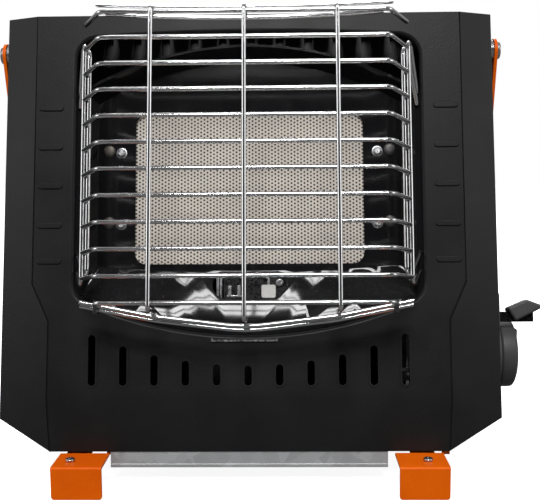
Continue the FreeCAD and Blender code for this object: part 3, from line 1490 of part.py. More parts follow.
def rear_feet():
    """Two tapered rubber feet, each with a well for its screw's head."""
    height = BOTTOM_Z - SEAM
    well_radius, well_depth = REAR_FOOT_WELL
    feet = []
    for x in (-REAR_FOOT_X, REAR_FOOT_X):
        base = vec(x, REAR_FOOT_Y, 0)
        pad = Part.makeCone(REAR_FOOT_RADIUS, REAR_FOOT_RADIUS - REAR_FOOT_TAPER, height, base)
        well = rod(base - Z_AXIS, vec(x, REAR_FOOT_Y, well_depth), well_radius)
        shaft = rod(base, vec(x, REAR_FOOT_Y, height + 1), REAR_FOOT_SCREW)
        feet.append(pad.cut([well, shaft]))
    return group(feet)


def rear_foot_screws():
    head_z = REAR_FOOT_WELL[1] - TOUCH
    screws = []
    for x in (-REAR_FOOT_X, REAR_FOOT_X):
        head = pan_head(vec(x, REAR_FOOT_Y, head_z), vec(0, 0, -1), *REAR_FOOT_HEAD)
        low = vec(x, REAR_FOOT_Y, head_z - 1)
        shank = rod(low, vec(x, REAR_FOOT_Y, BOTTOM_Z - SEAM), REAR_FOOT_SCREW - TOUCH)
        screws.append(fuse([head, shank]))
    return group(screws)


def rear_screws():
    """Screws of the rear panel along its two sides."""
    screws = []
    for x in (-REAR_SCREW_X, REAR_SCREW_X):
        for h in REAR_SCREW_HEIGHTS:
            screws.append(pan_head(vec(x, REAR_DEPTH + TOUCH, h), Y_AXIS, *REAR_HEAD))
    return lean(group(screws))


NODES = {
    "front_panel": front_panel,
    "casing": casing,
    "rear_panel": rear_panel,
    "rear_screws": rear_screws,
    "heat_shield": heat_shield,
    "reflector": reflector,
    "ceramic_plaque": ceramic_plaque,
    "plaque_gasket": plaque_gasket,
    "burner_box": burner_box,
    "burner_screws": burner_screws,
    "venturi_tube": venturi_tube,
    "gas_jet": gas_jet,
    "jet_bracket": jet_bracket,
    "gas_pipe": gas_pipe,
    "regulator": regulator,
    "cartridge_seat": cartridge_seat,
    "slide_guides": slide_guides,
    "collar_slide": collar_slide,
    "lever_arm": lever_arm,
    "lever_paddle": lever_paddle,
    "lever_pivot": lever_pivot,
    "lever_bezel": lever_bezel,
    "knob": knob,
    "knob_spindle": knob_spindle,
    "knob_bezel": knob_bezel,
    "piezo_unit": piezo_unit,
    "ignition_lead": ignition_lead,
    "electrode_insulator": electrode_insulator,
    "electrode_wire": electrode_wire,
    "igniter_bracket": igniter_bracket,
    "igniter_screw": igniter_screw,
    "sensor_tubes": sensor_tubes,
    "opening_lip": opening_lip,
    "guard_rows": guard_rows,
    "guard_uprights": guard_uprights,
    "guard_side_wires": guard_side_wires,
    "guard_top_wires": guard_top_wires,
    "guard_bottom_wires": guard_bottom_wires,
    "guard_clips": guard_clips,
    "handle_bail": handle_bail,
    "handle_grip": handle_grip,
    "handle_screws": handle_screws,
    "cartridge_lid": cartridge_lid,
    "hinge_brackets": hinge_brackets,
    "lid_pin": lid_pin,
    "regulator_cover": regulator_cover,
    "rear_wall": rear_wall,
    "latch_clip": latch_clip,
    "bay_cradle": bay_cradle,
    "bay_stop": bay_stop,
    "base_channel": base_channel,
    "foot_brackets": foot_brackets,
    "foot_screws": foot_screws,
    "rear_feet": rear_feet,
    "rear_foot_screws": rear_foot_screws,
}

os.makedirs("parts", exist_ok=True)
for node_name, make in NODES.items():
    save(node_name, make())
for foot_name in FOOT_SPAN:
    save(foot_name, foot(foot_name))
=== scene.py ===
import json
import math

import bmesh
import bpy
from mathutils import Matrix, Vector


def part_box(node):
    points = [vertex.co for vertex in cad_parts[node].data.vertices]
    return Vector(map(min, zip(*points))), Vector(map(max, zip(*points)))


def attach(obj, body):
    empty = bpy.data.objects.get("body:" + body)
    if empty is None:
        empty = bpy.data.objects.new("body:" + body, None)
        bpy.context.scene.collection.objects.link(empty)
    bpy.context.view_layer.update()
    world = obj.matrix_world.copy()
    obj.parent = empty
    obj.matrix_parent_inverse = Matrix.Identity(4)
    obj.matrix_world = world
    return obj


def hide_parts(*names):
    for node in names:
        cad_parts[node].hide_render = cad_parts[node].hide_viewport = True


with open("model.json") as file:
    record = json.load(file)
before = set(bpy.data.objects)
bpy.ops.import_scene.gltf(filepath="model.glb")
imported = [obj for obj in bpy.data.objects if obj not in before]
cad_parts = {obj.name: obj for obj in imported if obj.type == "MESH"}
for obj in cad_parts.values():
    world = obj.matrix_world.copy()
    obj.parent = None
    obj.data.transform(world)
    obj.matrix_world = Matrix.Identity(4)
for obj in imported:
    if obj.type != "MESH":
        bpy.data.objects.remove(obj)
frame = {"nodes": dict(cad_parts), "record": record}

bl_info = {
    "name": "Portable gas heater",
    "version": (1, 0, 0),
    "blender": (4, 5, 0),
    "location": "3D View > Sidebar > Heater",
    "description": "Dresses the heater's frame with finished pieces, materials, light and a camera",
    "category": "Object",
}

NODES = frame["nodes"]
BODY_OF = {node: body for body, nodes in frame["record"]["behaviour"]["bodies"].items() for node in nodes}
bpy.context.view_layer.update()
SLOT_OF = {row["node"]: row["material_slot"] for row in frame["record"]["subparts"]}
MM = 0.001
WHITE = (1.0, 1.0, 1.0, 1.0)
BLACK = (0.0, 0.0, 0.0, 1.0)

# The front panel leans back; places on it are given across, behind and up along it
LEAN = math.radians(12.0)
PANEL_TURN = Matrix.Rotation(-LEAN, 4, "X")
PANEL_ORIGIN = Vector((-0.009, -0.045, 0.0189))
OUTWARDS = PANEL_TURN.to_3x3() @ Vector((0, -1, 0))

# A frame node's copy: points merged within millimetres, faces taken as flat within degrees
MERGED_WITHIN = 0.002
FLAT_WITHIN = 0.6

# Creases between the panel or its skirt and the side facets: millimetres, degrees, parts of a face's normal
CREASE_FROM_MIDDLE = 100.0
CREASE_SHORTEST = 4.0
CREASE_BEND = (15.0, 35.0)
FACET_FACES_FRONT = 0.5
PANEL_FACES_FRONT = 0.97
PANEL_TURNED_MOST = 0.02
GROOVE_DEPTH_SHARE = 0.6

# Details in millimetres: outlines are distances along a round solid and its radii there
DISH_BACK = 17.0
BURNER_SCREWS = ((-71.0, 162.0), (71.0, 162.0), (-70.7, 121.8), (70.7, 121.8))
SCREW_HEAD = ((0.0, 2.9), (0.5, 2.9), (0.55, 2.35), (1.4, 2.3), (1.9, 2.0), (2.15, 1.5), (2.25, 0.9))
RECESS_HALF = Vector((1.5, 0.3, 1.0))
RECESS_RISE = 2.3
RECESS_EDGE = 0.05
RECESS_TURNS = (20.0, 110.0)
STUD_SHIFT = 7.0
STUD_RISE = 1.0
STUD_SHAPE = ((0.0, 3.4), (0.4, 3.35), (0.75, 2.9), (0.95, 1.9), (1.0, 0.8))
PRONG_PLACES = (-10.45, -5.45)
PRONG_HALF_WIDTH = 0.95
PRONG_DEPTHS = (11.2, 12.8)
PRONG_HEIGHTS = (81.0, 87.4)
YOKE_PAST_PRONGS = (1.6, 2.4)
YOKE_HEIGHT = 1.2
KNOB_SHAPE = (
    (0.0, 18.3), (0.5, 18.8), (1.2, 19.0), (6.8, 18.9), (7.5, 18.6), (8.1, 17.9),
    (8.8, 16.2), (9.6, 13.0), (10.2, 9.0), (10.5, 5.0), (10.6, 2.0),
)
FINGER_BAR_START = 7.0
FINGER_BAR_HALF = (2.2, 13.5)
SLEEVE_END = ((0.0, 2.0), (0.6, 0.8), (1.6, 0.0))
SLEEVE_PLAIN_END = 3.0
RIB_PITCH = 6.0
RIB_GROOVE = 0.8
LID_REST_SIDE_GAP = 3.0
LID_REST_DEPTHS = (-1.7, -0.1)
LID_REST_BELOW = 3.5
LID_REST_ABOVE = 3.0

# Lights: place, point aimed at and side of the square in metres, and the setting for the power
LIGHTS = {
    "key_light": ((0.0, -1.75, 1.8), (0.0, 0.0, 0.12), 0.6, "key"),
    "left_light": ((-1.1, -0.35, 0.55), (0.0, 0.0, 0.12), 0.7, "side"),
    "right_light": ((1.1, -0.35, 0.55), (0.0, 0.0, 0.12), 0.7, "side"),
    "back_light": ((0.0, 1.6, 1.5), (0.0, 0.0, 0.1), 1.0, "back"),
}
FLOOR_SIDE = 8.0
FLOOR_DROP = 0.0002
FRONT_FADE = (-0.9, -0.2)
SENSOR_WIDTH = 36.0
NEAREST_SEEN = 0.01


def leaned(x, depth, height):
    """Heater position of a point given across, behind and up along the front panel, in millimetres."""
    return PANEL_ORIGIN + PANEL_TURN.to_3x3() @ Vector((x, depth, height)) * MM


# Settings a user would change


def colour_setting(name, description, value):
    return bpy.props.FloatVectorProperty(
        name=name, description=description, default=value, subtype="COLOR", size=4, min=0.0, max=1.0
    )


def length_setting(name, description, millimetres):
    return bpy.props.FloatProperty(
        name=name, description=description, default=millimetres * MM, min=0.0, unit="LENGTH", precision=5
    )


def angle_setting(name, description, degrees):
    return bpy.props.FloatProperty(
        name=name, description=description, default=math.radians(degrees), unit="ROTATION"
    )


def factor_setting(name, description, value, top=1.0):
    return bpy.props.FloatProperty(
        name=name, description=description, default=value, min=0.0, max=top, subtype="FACTOR"
    )


def power_setting(name, description, watts):
    return bpy.props.FloatProperty(name=name, description=description, default=watts, min=0.0, unit="POWER")


class HeaterColours(bpy.types.PropertyGroup):
    """Base colours of the finishes."""

    coat: colour_setting("Powder coat", "Satin black of the casing", (0.012, 0.012, 0.0125, 1))
    enamel: colour_setting("Enamel", "Gloss black of the reflector", (0.008, 0.008, 0.009, 1))
    orange: colour_setting("Orange coat", "Feet and handle strip", (1.0, 0.14, 0.0, 1))
    zinc: colour_setting("Zinc", "Base channel and inner strips", (0.72, 0.73, 0.74, 1))
    wire: colour_setting("Guard wire", "Plated wire of the guard", (0.82, 0.82, 0.83, 1))
    steel: colour_setting("Screw steel", "Screws and small plated parts", (0.6, 0.6, 0.61, 1))
    # Studs: a dull grey copy of the screw steel, as painted highlight for the highlight on the dish's bumps
    stud_highlight_steel: colour_setting("Stud highlight steel", "Studs beside the burner screws", (0.096, 0.096, 0.0976, 1))
    # Igniter bracket: a dark copy of the screw steel, painted shade for the shade the bracket sits in
    bracket_shade_steel: colour_setting("Shaded bracket steel", "Bracket of the igniter", (0.072, 0.072, 0.0732, 1))
    black_steel: colour_setting("Blackened steel", "Arm of the lever", (0.03, 0.03, 0.0305, 1))
    plastic: colour_setting("Plastic", "Knob, lever paddle and bezels", (0.05, 0.05, 0.052, 1))
    rubber: colour_setting("Rubber", "Handle grip and rear feet", (0.018, 0.018, 0.018, 1))
    plaque: colour_setting("Plaque", "Cream ceramic of the burner", (0.90, 0.82, 0.74, 1))
    # Pore shade: a dark colour painted into the plaque's holes as painted shade, for the shade inside them
    pore_shade: colour_setting("Plaque pore shade", "Painted shade in the ceramic's small holes", (0.035, 0.028, 0.022, 1))
    porcelain: colour_setting("Porcelain", "Insulator of the electrode", (0.86, 0.85, 0.81, 1))
    fibre: colour_setting("Fibre", "Gasket round the plaque", (0.62, 0.6, 0.55, 1))
    brass: colour_setting("Brass", "Gas jet and cartridge seat", (0.72, 0.53, 0.22, 1))
    cast: colour_setting("Cast alloy", "Regulator", (0.48, 0.48, 0.49, 1))
    floor: colour_setting("Floor", "Pale floor under the heater", (0.9, 0.9, 0.9, 1))


class HeaterSizes(bpy.types.PropertyGroup):
    """Sizes of the modelled details."""

    sheet_edge: length_setting("Sheet edge", "Rounding of bent and cut sheet edges", 0.45)
    strip_edge: length_setting("Strip edge", "Rounding of small strips and brackets", 0.25)
    crease_groove: length_setting("Crease groove", "Width of the groove along the front's creases", 1.1)
    pore_pitch: length_setting("Pore pitch", "Distance between the plaque's holes", 2.08)
    pore_radius: length_setting("Pore radius", "Radius of the plaque's holes", 0.56)


class HeaterStudio(bpy.types.PropertyGroup):
    """Camera and light."""

    lens: bpy.props.FloatProperty(
        name="Lens", description="Focal length", default=60.0, min=1.0, unit="CAMERA"
    )
    camera_side: length_setting("Camera side", "Distance of the camera to the right of the origin", 13.3)
    camera_distance: length_setting("Camera distance", "Distance of the camera in front of the origin", 498.0)
    camera_height: length_setting("Camera height", "Height of the camera above the floor", 174.3)
    pan: angle_setting("Pan", "Camera turned to the viewer's left", 1.276)
    tilt: angle_setting("Tilt", "Camera turned down", 6.327)
    roll: angle_setting("Roll", "Camera rolled clockwise", 0.497)
    key: power_setting("Key light", "Power of the light above and in front", 38.0)
    side: power_setting("Side lights", "Power of each side light", 2.5)
    back: power_setting("Back light", "Power of the light behind", 22.0)
    fill: factor_setting("Fill", "Strength of the light from the sides, above and behind", 0.3, 10.0)
    front_fill: factor_setting("Front fill", "Strength of the light from straight in front", 0.03, 10.0)
    floor_glow: factor_setting("Floor glow", "White added to the floor for the camera", 0.9)


# Materials


class Value:
    """A socket that joins in sums."""

    def __init__(self, board, socket):
        self.board = board
        self.socket = socket

    def sum(self, operation, first, second):
        return self.board.node("ShaderNodeMath", {"operation": operation}, {0: first, 1: second})

    def __add__(self, other):
        return self.sum("ADD", self, other)

    __radd__ = __add__

    def __sub__(self, other):
        return self.sum("SUBTRACT", self, other)

    def __rsub__(self, other):
        return self.sum("SUBTRACT", other, self)

    def __mul__(self, other):
        return self.sum("MULTIPLY", self, other)

    __rmul__ = __mul__

    def __truediv__(self, other):
        return self.sum("DIVIDE", self, other)

    def __rtruediv__(self, other):
        return self.sum("DIVIDE", other, self)

    def __pow__(self, other):
        return self.sum("POWER", self, other)

    def __rpow__(self, other):
        return self.sum("POWER", other, self)

    def least(self, other):
        return self.sum("MINIMUM", self, other)

    def fraction(self):
        return self.board.node("ShaderNodeMath", {"operation": "FRACT"}, {0: self})

    def sine(self):
        return self.board.node("ShaderNodeMath", {"operation": "SINE"}, {0: self})


class Board:
    """The nodes of one material or of the surroundings."""

    def __init__(self, holder):
        holder.use_nodes = True
        self.holder = holder
        self.tree = holder.node_tree
        self.tree.nodes.clear()

    def feed(self, node, sockets):
        """Gives sockets, named with _ for a space or numbered, their values or links."""
        for key, given in sockets.items():
            socket = node.inputs[key.replace("_", " ") if isinstance(key, str) else key]
            if isinstance(given, Value):
                self.tree.links.new(given.socket, socket)
            else:
                socket.default_value = given

    def node(self, kind, settings, sockets, output=0):
        """Adds a node, its settings first and then its sockets' values or links, and gives its output."""
        made = self.tree.nodes.new(kind)
        for key, given in settings.items():
            setattr(made, key, given)
        self.feed(made, sockets)
        if isinstance(output, tuple):
            return [Value(self, made.outputs[name]) for name in output]
        return Value(self, made.outputs[output]) if made.outputs else None

    def place(self):
        """Object position."""
        return self.node("ShaderNodeTexCoord", {}, {}, "Object")

    def axes(self, vector):
        """The three numbers of a vector."""
        return self.node("ShaderNodeSeparateXYZ", {}, {0: vector}, ("X", "Y", "Z"))

    def leaning_place(self):
        """Object position turned upright with the front panel."""
        settings = {"vector_type": "POINT"}
        sockets = {"Vector": self.place(), "Rotation": (LEAN, 0, 0)}
        return self.node("ShaderNodeMapping", settings, sockets)

    def noise(self, size, detail=2.0, roughness=0.5, vector=None):
        """Soft noise with features of about the given size in metres."""
        sockets = {"Vector": vector or self.place(), "Scale": 1 / size}
        sockets.update({"Detail": detail, "Roughness": roughness})
        return self.node("ShaderNodeTexNoise", {}, sockets, "Fac")

    def cells(self, size):
        """Cells of about the given size, each with a random colour."""
        sockets = {"Vector": self.place(), "Scale": 1 / size}
        return self.node("ShaderNodeTexVoronoi", {}, sockets, "Color")

    def span(self, value, low, high, to_low=0.0, to_high=1.0):
        """A value's stretch from low to high, held at its ends and moved to a new stretch."""
        sockets = {"Value": value, "From Min": low, "From Max": high, "To Min": to_low, "To Max": to_high}
        return self.node("ShaderNodeMapRange", {}, sockets)

    def mix(self, factor, first, second):
        """A colour between two, by a factor."""
        return self.node("ShaderNodeMix", {"data_type": "RGBA"}, {0: factor, 6: first, 7: second}, 2)

    def bump(self, height, distance, strength):
        """A surface raised by a height of 0 to 1 times a distance in metres."""
        sockets = {"Height": height, "Distance": distance, "Strength": strength}
        return self.node("ShaderNodeBump", {}, sockets)


class Finish(Board):
    """The nodes of one material, ending in one surface shader."""

    def __init__(self, name, **constants):
        super().__init__(bpy.data.materials.new(name))
        self.shader = self.node("ShaderNodeBsdfPrincipled", {}, constants)
        self.node("ShaderNodeOutputMaterial", {}, {"Surface": self.shader})

    def finish(self, **links):
        """Links what varies over the surface and gives the material."""
        self.feed(self.shader.socket.node, links)
        return self.holder


def shade(colour, factor):
    """A colour made lighter or darker."""
    return tuple(min(1.0, part * factor) for part in colour[:3]) + (1.0,)


def powder_coat(name, colour, roughness, grain):
    """Satin powder coat: fine orange-peel grain and faint cloudiness."""
    board = Finish(name, Specular_IOR_Level=0.2)
    cloud = board.noise(30 * MM, 3.0)
    speck = board.noise(0.7 * MM, 1.0)
    tone = board.mix(board.span(cloud, 0.35, 0.65), shade(colour, 0.9), shade(colour, 1.12))
    tone = board.mix(board.span(speck, 0.62, 0.75) * 0.35, tone, shade(colour, 2.2))
    rough = board.span(cloud, 0.3, 0.7, roughness - 0.04, roughness + 0.05) + (speck - 0.5) * 0.1
    normal = board.bump(board.noise(0.9 * MM, 2.0), grain, 0.5)
    return board.finish(Base_Color=tone, Roughness=rough, Normal=normal)


def gloss_enamel(name, colour):
    """Smooth vitreous enamel with a faint ripple."""
    board = Finish(name, Specular_IOR_Level=0.3)
    ripple = board.noise(12 * MM, 2.0)
    pits = board.noise(1.1 * MM, 2.0, 0.6)
    tone = board.mix(board.span(pits, 0.6, 0.8) * 0.5, colour, shade(colour, 4.0))
    rough = board.span(ripple, 0.3, 0.7, 0.08, 0.14)
    normal = board.bump(ripple, 0.12 * MM, 0.3)
    return board.finish(Base_Color=tone, Roughness=rough, Normal=normal)


def zinc_sheet(name, colour):
    """Galvanised sheet with soft spangle and fine scratches."""
    board = Finish(name, Metallic=0.55)
    place = board.place()
    spangle = board.cells(6 * MM)
    value = board.axes(spangle)[0]
    stretched = board.node("ShaderNodeMapping", {}, {"Vector": place, "Scale": (1.0, 14.0, 14.0)})
    lines = board.noise(4 * MM, 3.0, 0.6, stretched)
    tone = board.mix(board.span(value, 0.0, 1.0) * 0.6, shade(colour, 0.86), shade(colour, 1.14))
    tone = board.mix(board.span(lines, 0.55, 0.75) * 0.3, tone, shade(colour, 0.7))
    rough = board.span(value, 0.0, 1.0, 0.34, 0.5)
    normal = board.bump(lines, 0.05 * MM, 0.4)
    return board.finish(Base_Color=tone, Roughness=rough, Normal=normal)


def plated_wire(name, colour):
    """Bright plated wire with faint drawing marks."""
    board = Finish(name, Metallic=1.0)
    mottle = board.noise(6 * MM, 3.0, 0.6)
    fine = board.noise(0.6 * MM, 2.0)
    tone = board.mix(board.span(mottle, 0.35, 0.7), shade(colour, 0.9), colour)
    rough = board.span(mottle, 0.3, 0.7, 0.09, 0.15)
    normal = board.bump(fine, 0.004 * MM, 0.2)
    return board.finish(Base_Color=tone, Roughness=rough, Normal=normal)


def plated_steel(name, colour):
    """Turned and plated screw steel."""
    board = Finish(name, Metallic=1.0)
    mottle = board.noise(1.5 * MM, 3.0, 0.6)
    tone = board.mix(board.span(mottle, 0.35, 0.7), shade(colour, 0.75), shade(colour, 1.1))
    rough = board.span(mottle, 0.3, 0.7, 0.22, 0.38)
    normal = board.bump(mottle, 0.04 * MM, 0.4)
    return board.finish(Base_Color=tone, Roughness=rough, Normal=normal)


def moulded_plastic(name, colour):
    """Matt moulded plastic with a fine sparked texture."""
    board = Finish(name)
    grain = board.noise(0.5 * MM, 2.0, 0.6)
    cloud = board.noise(12 * MM, 2.0)
    tone = board.mix(board.span(cloud, 0.3, 0.7), shade(colour, 0.9), shade(colour, 1.15))
    rough = board.span(grain, 0.3, 0.7, 0.42, 0.58)
    normal = board.bump(grain, 0.06 * MM, 0.5)
    return board.finish(Base_Color=tone, Roughness=rough, Normal=normal)


def soft_rubber(name, colour):
    """Soft matt rubber with a dusty cloudiness."""
    board = Finish(name)
    grain = board.noise(0.4 * MM, 2.0, 0.6)
    dust = board.noise(9 * MM, 4.0, 0.6)
    tone = board.mix(board.span(dust, 0.45, 0.75) * 0.6, colour, shade(colour, 1.9))
    rough = board.span(dust, 0.3, 0.7, 0.66, 0.82)
    normal = board.bump(grain, 0.08 * MM, 0.5)
    return board.finish(Base_Color=tone, Roughness=rough, Normal=normal)


def perforated_ceramic(name, colour, pore_shade, pitch, radius):
    """Cream burner ceramic with rows of small holes in its front face, painted dark as painted shade and
    pressed in by a bump.
    """
    board = Finish(name, Specular_IOR_Level=0.3)
    place = board.leaning_place()
    across, depth, up = board.axes(place)

    def from_centre(shift):
        side = (across / (pitch * math.sqrt(3)) + shift).fraction() - 0.5
        rise = (up / pitch + shift).fraction() - 0.5
        return (side * side * 3.0 + rise * rise) ** 0.5 * pitch

    near = from_centre(0.0).least(from_centre(0.5))
    # Mask of the holes: it paints them dark as painted shade and presses them in by the bump
    hole_and_shade = board.span(near, radius * 1.15, radius * 0.8)
    soot = board.noise(20 * MM, 4.0, 0.6)
    grit = board.noise(1.2 * MM, 3.0, 0.7)
    body = board.mix(board.span(soot, 0.35, 0.7), colour, shade(colour, 0.88))
    body = board.mix(board.span(grit, 0.45, 0.75) * 0.35, body, shade(colour, 0.72))
    # Painted shade: the holes take the dark pore colour
    tone = board.mix(hole_and_shade * 0.96, body, pore_shade)
    normal = board.bump(grit * 0.3 - hole_and_shade, 0.6 * MM, 0.7)
    rough = board.span(grit, 0.3, 0.7, 0.8, 0.95)
    return board.finish(Base_Color=tone, Roughness=rough, Normal=normal)


def glazed_porcelain(name, colour):
    """White glazed porcelain, faintly clouded by heat."""
    board = Finish(name, Coat_Weight=0.4)
    cloud = board.noise(3 * MM, 3.0)
    tone = board.mix(board.span(cloud, 0.4, 0.75), colour, shade(colour, 0.82))
    rough = board.span(cloud, 0.3, 0.7, 0.2, 0.34)
    return board.finish(Base_Color=tone, Roughness=rough, Normal=board.bump(cloud, 0.05 * MM, 0.3))


def woven_fibre(name, colour):
    """Packed mineral fibre strip."""
    board = Finish(name)
    strands = board.noise(1.1 * MM, 5.0, 0.75)
    tone = board.mix(board.span(strands, 0.3, 0.7), shade(colour, 0.6), colour)
    rough = board.span(strands, 0.3, 0.7, 0.85, 1.0)
    return board.finish(Base_Color=tone, Roughness=rough, Normal=board.bump(strands, 0.3 * MM, 0.7))


def turned_brass(name, colour):
    """Brass with fine turning rings."""
    board = Finish(name, Metallic=1.0)
    across = board.axes(board.place())[0]
    rings = (across / (0.06 * MM)).sine()
    mottle = board.noise(2 * MM, 3.0)
    tone = board.mix(board.span(mottle, 0.3, 0.7), shade(colour, 0.8), colour)
    rough = board.span(mottle, 0.3, 0.7, 0.22, 0.36)
    return board.finish(Base_Color=tone, Roughness=rough, Normal=board.bump(rings, 0.01 * MM, 0.4))


def cast_alloy(name, colour):
    """Die-cast alloy with a grainy skin."""
    board = Finish(name, Metallic=1.0)
    grain = board.noise(0.9 * MM, 4.0, 0.7)
    tone = board.mix(board.span(grain, 0.3, 0.7), shade(colour, 0.75), shade(colour, 1.1))
    rough = board.span(grain, 0.3, 0.7, 0.4, 0.6)
    return board.finish(Base_Color=tone, Roughness=rough, Normal=board.bump(grain, 0.1 * MM, 0.6))


def heated_steel(name, colour):
    """Aluminised burner steel with a faint straw and blue heat tint."""
    board = Finish(name, Metallic=1.0)
    heat = board.noise(25 * MM, 3.0, 0.6)
    grain = board.noise(0.9 * MM, 3.0, 0.6)
    straw = (colour[0] * 1.2, colour[1] * 1.0, colour[2] * 0.7, 1.0)
    tone = board.mix(board.span(heat, 0.4, 0.7) * 0.6, colour, straw)
    rough = board.span(grain, 0.3, 0.7, 0.38, 0.55)
    return board.finish(Base_Color=tone, Roughness=rough, Normal=board.bump(grain, 0.05 * MM, 0.5))


def floor_paint(name, colour, glow):
    """Pale floor that photographs as white: only the camera sees its glow."""
    board = Finish(name, Specular_IOR_Level=0.2, Emission_Strength=1.0)
    cloud = board.noise(600 * MM, 3.0)
    tone = board.mix(board.span(cloud, 0.3, 0.7), shade(colour, 0.985), colour)
    seen = board.node("ShaderNodeLightPath", {}, {}, "Is Camera Ray")
    tone = board.mix(seen, shade(colour, 0.16), tone)
    light = board.mix(seen * glow, BLACK, WHITE)
    rough = board.span(cloud, 0.3, 0.7, 0.75, 0.85)
    return board.finish(Base_Color=tone, Emission_Color=light, Roughness=rough)


MATERIALS = {}


def finish_for(slot):
    """The material of a record slot, made when it is first asked for."""
    if slot in MATERIALS:
        return MATERIALS[slot]
    tones = bpy.context.scene.heater_colours
    sizes = bpy.context.scene.heater_sizes
    makers = {
        "satin_black": lambda: powder_coat("satin_black_coat", tones.coat, 0.42, 0.12 * MM),
        "enamel_black": lambda: gloss_enamel("black_enamel", tones.enamel),
        "galvanised": lambda: zinc_sheet("zinc_sheet", tones.zinc),
        "chrome_wire": lambda: plated_wire("plated_guard_wire", tones.wire),
        "orange_paint": lambda: powder_coat("orange_coat", tones.orange, 0.38, 0.1 * MM),
        "screw_steel": lambda: plated_steel("plated_screw_steel", tones.steel),
        "dark_plastic": lambda: moulded_plastic("moulded_dark_plastic", tones.plastic),
        "plaque_ceramic": lambda: perforated_ceramic(
            "perforated_ceramic", tones.plaque, tones.pore_shade, sizes.pore_pitch, sizes.pore_radius
        ),
        "white_ceramic": lambda: glazed_porcelain("glazed_porcelain", tones.porcelain),
        "gasket_fibre": lambda: woven_fibre("gasket_fibre", tones.fibre),
        "burner_steel": lambda: heated_steel("heated_burner_steel", shade(tones.steel, 0.75)),
        "brass": lambda: turned_brass("turned_brass", tones.brass),
        "pipe_alloy": lambda: plated_steel("drawn_pipe_alloy", shade(tones.steel, 1.15)),
        "regulator_cast": lambda: cast_alloy("cast_alloy", tones.cast),
        "grip_rubber": lambda: soft_rubber("grip_rubber", tones.rubber),
        "foot_rubber": lambda: soft_rubber("foot_rubber", shade(tones.rubber, 1.2)),
        "lead_rubber": lambda: soft_rubber("lead_insulation", shade(tones.rubber, 1.5)),
    }
    MATERIALS[slot] = makers[slot]()
    return MATERIALS[slot]


def dress(piece, material):
    """Gives a piece its one material."""
    piece.data.materials.clear()
    piece.data.materials.append(material)


def coat_node(name, material):
    """Gives a carried-over frame node a material."""
    for place in NODES[name].material_slots:
        place.material = material


def dress_nodes(names):
    """Gives carried-over frame nodes the finish of their record slot."""
    for name in names:
        coat_node(name, finish_for(SLOT_OF[name]))


# Modelling helpers


def only(piece):
    """Selects one piece and makes it active."""
    bpy.ops.object.select_all(action="DESELECT")
    bpy.context.view_layer.objects.active = piece
    piece.select_set(True)


def settle(piece):
    """Puts the piece's place into its mesh."""
    only(piece)
    bpy.ops.object.transform_apply(location=True, rotation=True, scale=True)


def modify(piece, kind, **settings):
    """Adds one modifier and applies it."""
    only(piece)
    modifier = piece.modifiers.new(kind.title(), kind)
    for key, given in settings.items():
        setattr(modifier, key, given)
    bpy.ops.object.modifier_apply(modifier=modifier.name)


def smooth(piece, degrees=35.0):
    """Smooth shading that keeps sharp edges and lets large flats stay flat."""
    only(piece)
    bpy.ops.object.shade_smooth_by_angle(angle=math.radians(degrees))
    modify(piece, "WEIGHTED_NORMAL", weight=100, keep_sharp=True)


def ride_on(piece, body, slot, material=None):
    """Lets a new piece ride on a body with a record slot's finish, or with its own material."""
    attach(piece, body)
    dress(piece, material or finish_for(slot))


def ride_for(piece, node):
    """Lets a piece stand for a frame node: same body, same slot."""
    ride_on(piece, BODY_OF[node], SLOT_OF[node])
    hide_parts(node)


def merged_copy(node, name):
    """A copy of a frame node with its triangles joined and flat faces made whole."""
    source = NODES[node]
    piece = source.copy()
    piece.data = source.data.copy()
    piece.name = name
    for key in list(piece.keys()):
        if key.startswith("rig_"):
            del piece[key]
    bpy.context.scene.collection.objects.link(piece)
    piece.parent = None
    piece.matrix_world = Matrix.Identity(4)
    only(piece)
    if piece.data.has_custom_normals:
        bpy.ops.mesh.customdata_custom_splitnormals_clear()
    bpy.ops.object.mode_set(mode="EDIT")
    bpy.ops.mesh.select_all(action="SELECT")
    bpy.ops.mesh.remove_doubles(threshold=MERGED_WITHIN * MM)
    bpy.ops.mesh.dissolve_limited(angle_limit=math.radians(FLAT_WITHIN))
    bpy.ops.object.mode_set(mode="OBJECT")
    return piece


def rounded(piece, width, angle=30.0):
    """Rounds the piece's edges by a small bevel."""
    modify(
        piece, "BEVEL", width=width, segments=2, limit_method="ANGLE",
        angle_limit=math.radians(angle), use_clamp_overlap=True, miter_outer="MITER_ARC",
    )


def softened(node, name, width):
    """A frame node's form with rounded edges."""
    piece = merged_copy(node, name)
    rounded(piece, width)
    smooth(piece)
    ride_for(piece, node)


def pick_edges(piece, test):
    """Selects the edges that pass a test, in edit mode."""
    bpy.ops.mesh.select_mode(type="EDGE")
    bpy.ops.mesh.select_all(action="DESELECT")
    mesh = bmesh.from_edit_mesh(piece.data)
    for edge in mesh.edges:
        edge.select = test(edge)
    mesh.select_flush_mode()
    bmesh.update_edit_mesh(piece.data)
    if not any(edge.select for edge in mesh.edges):
        raise RuntimeError("no edge of " + piece.name + " passed the test")


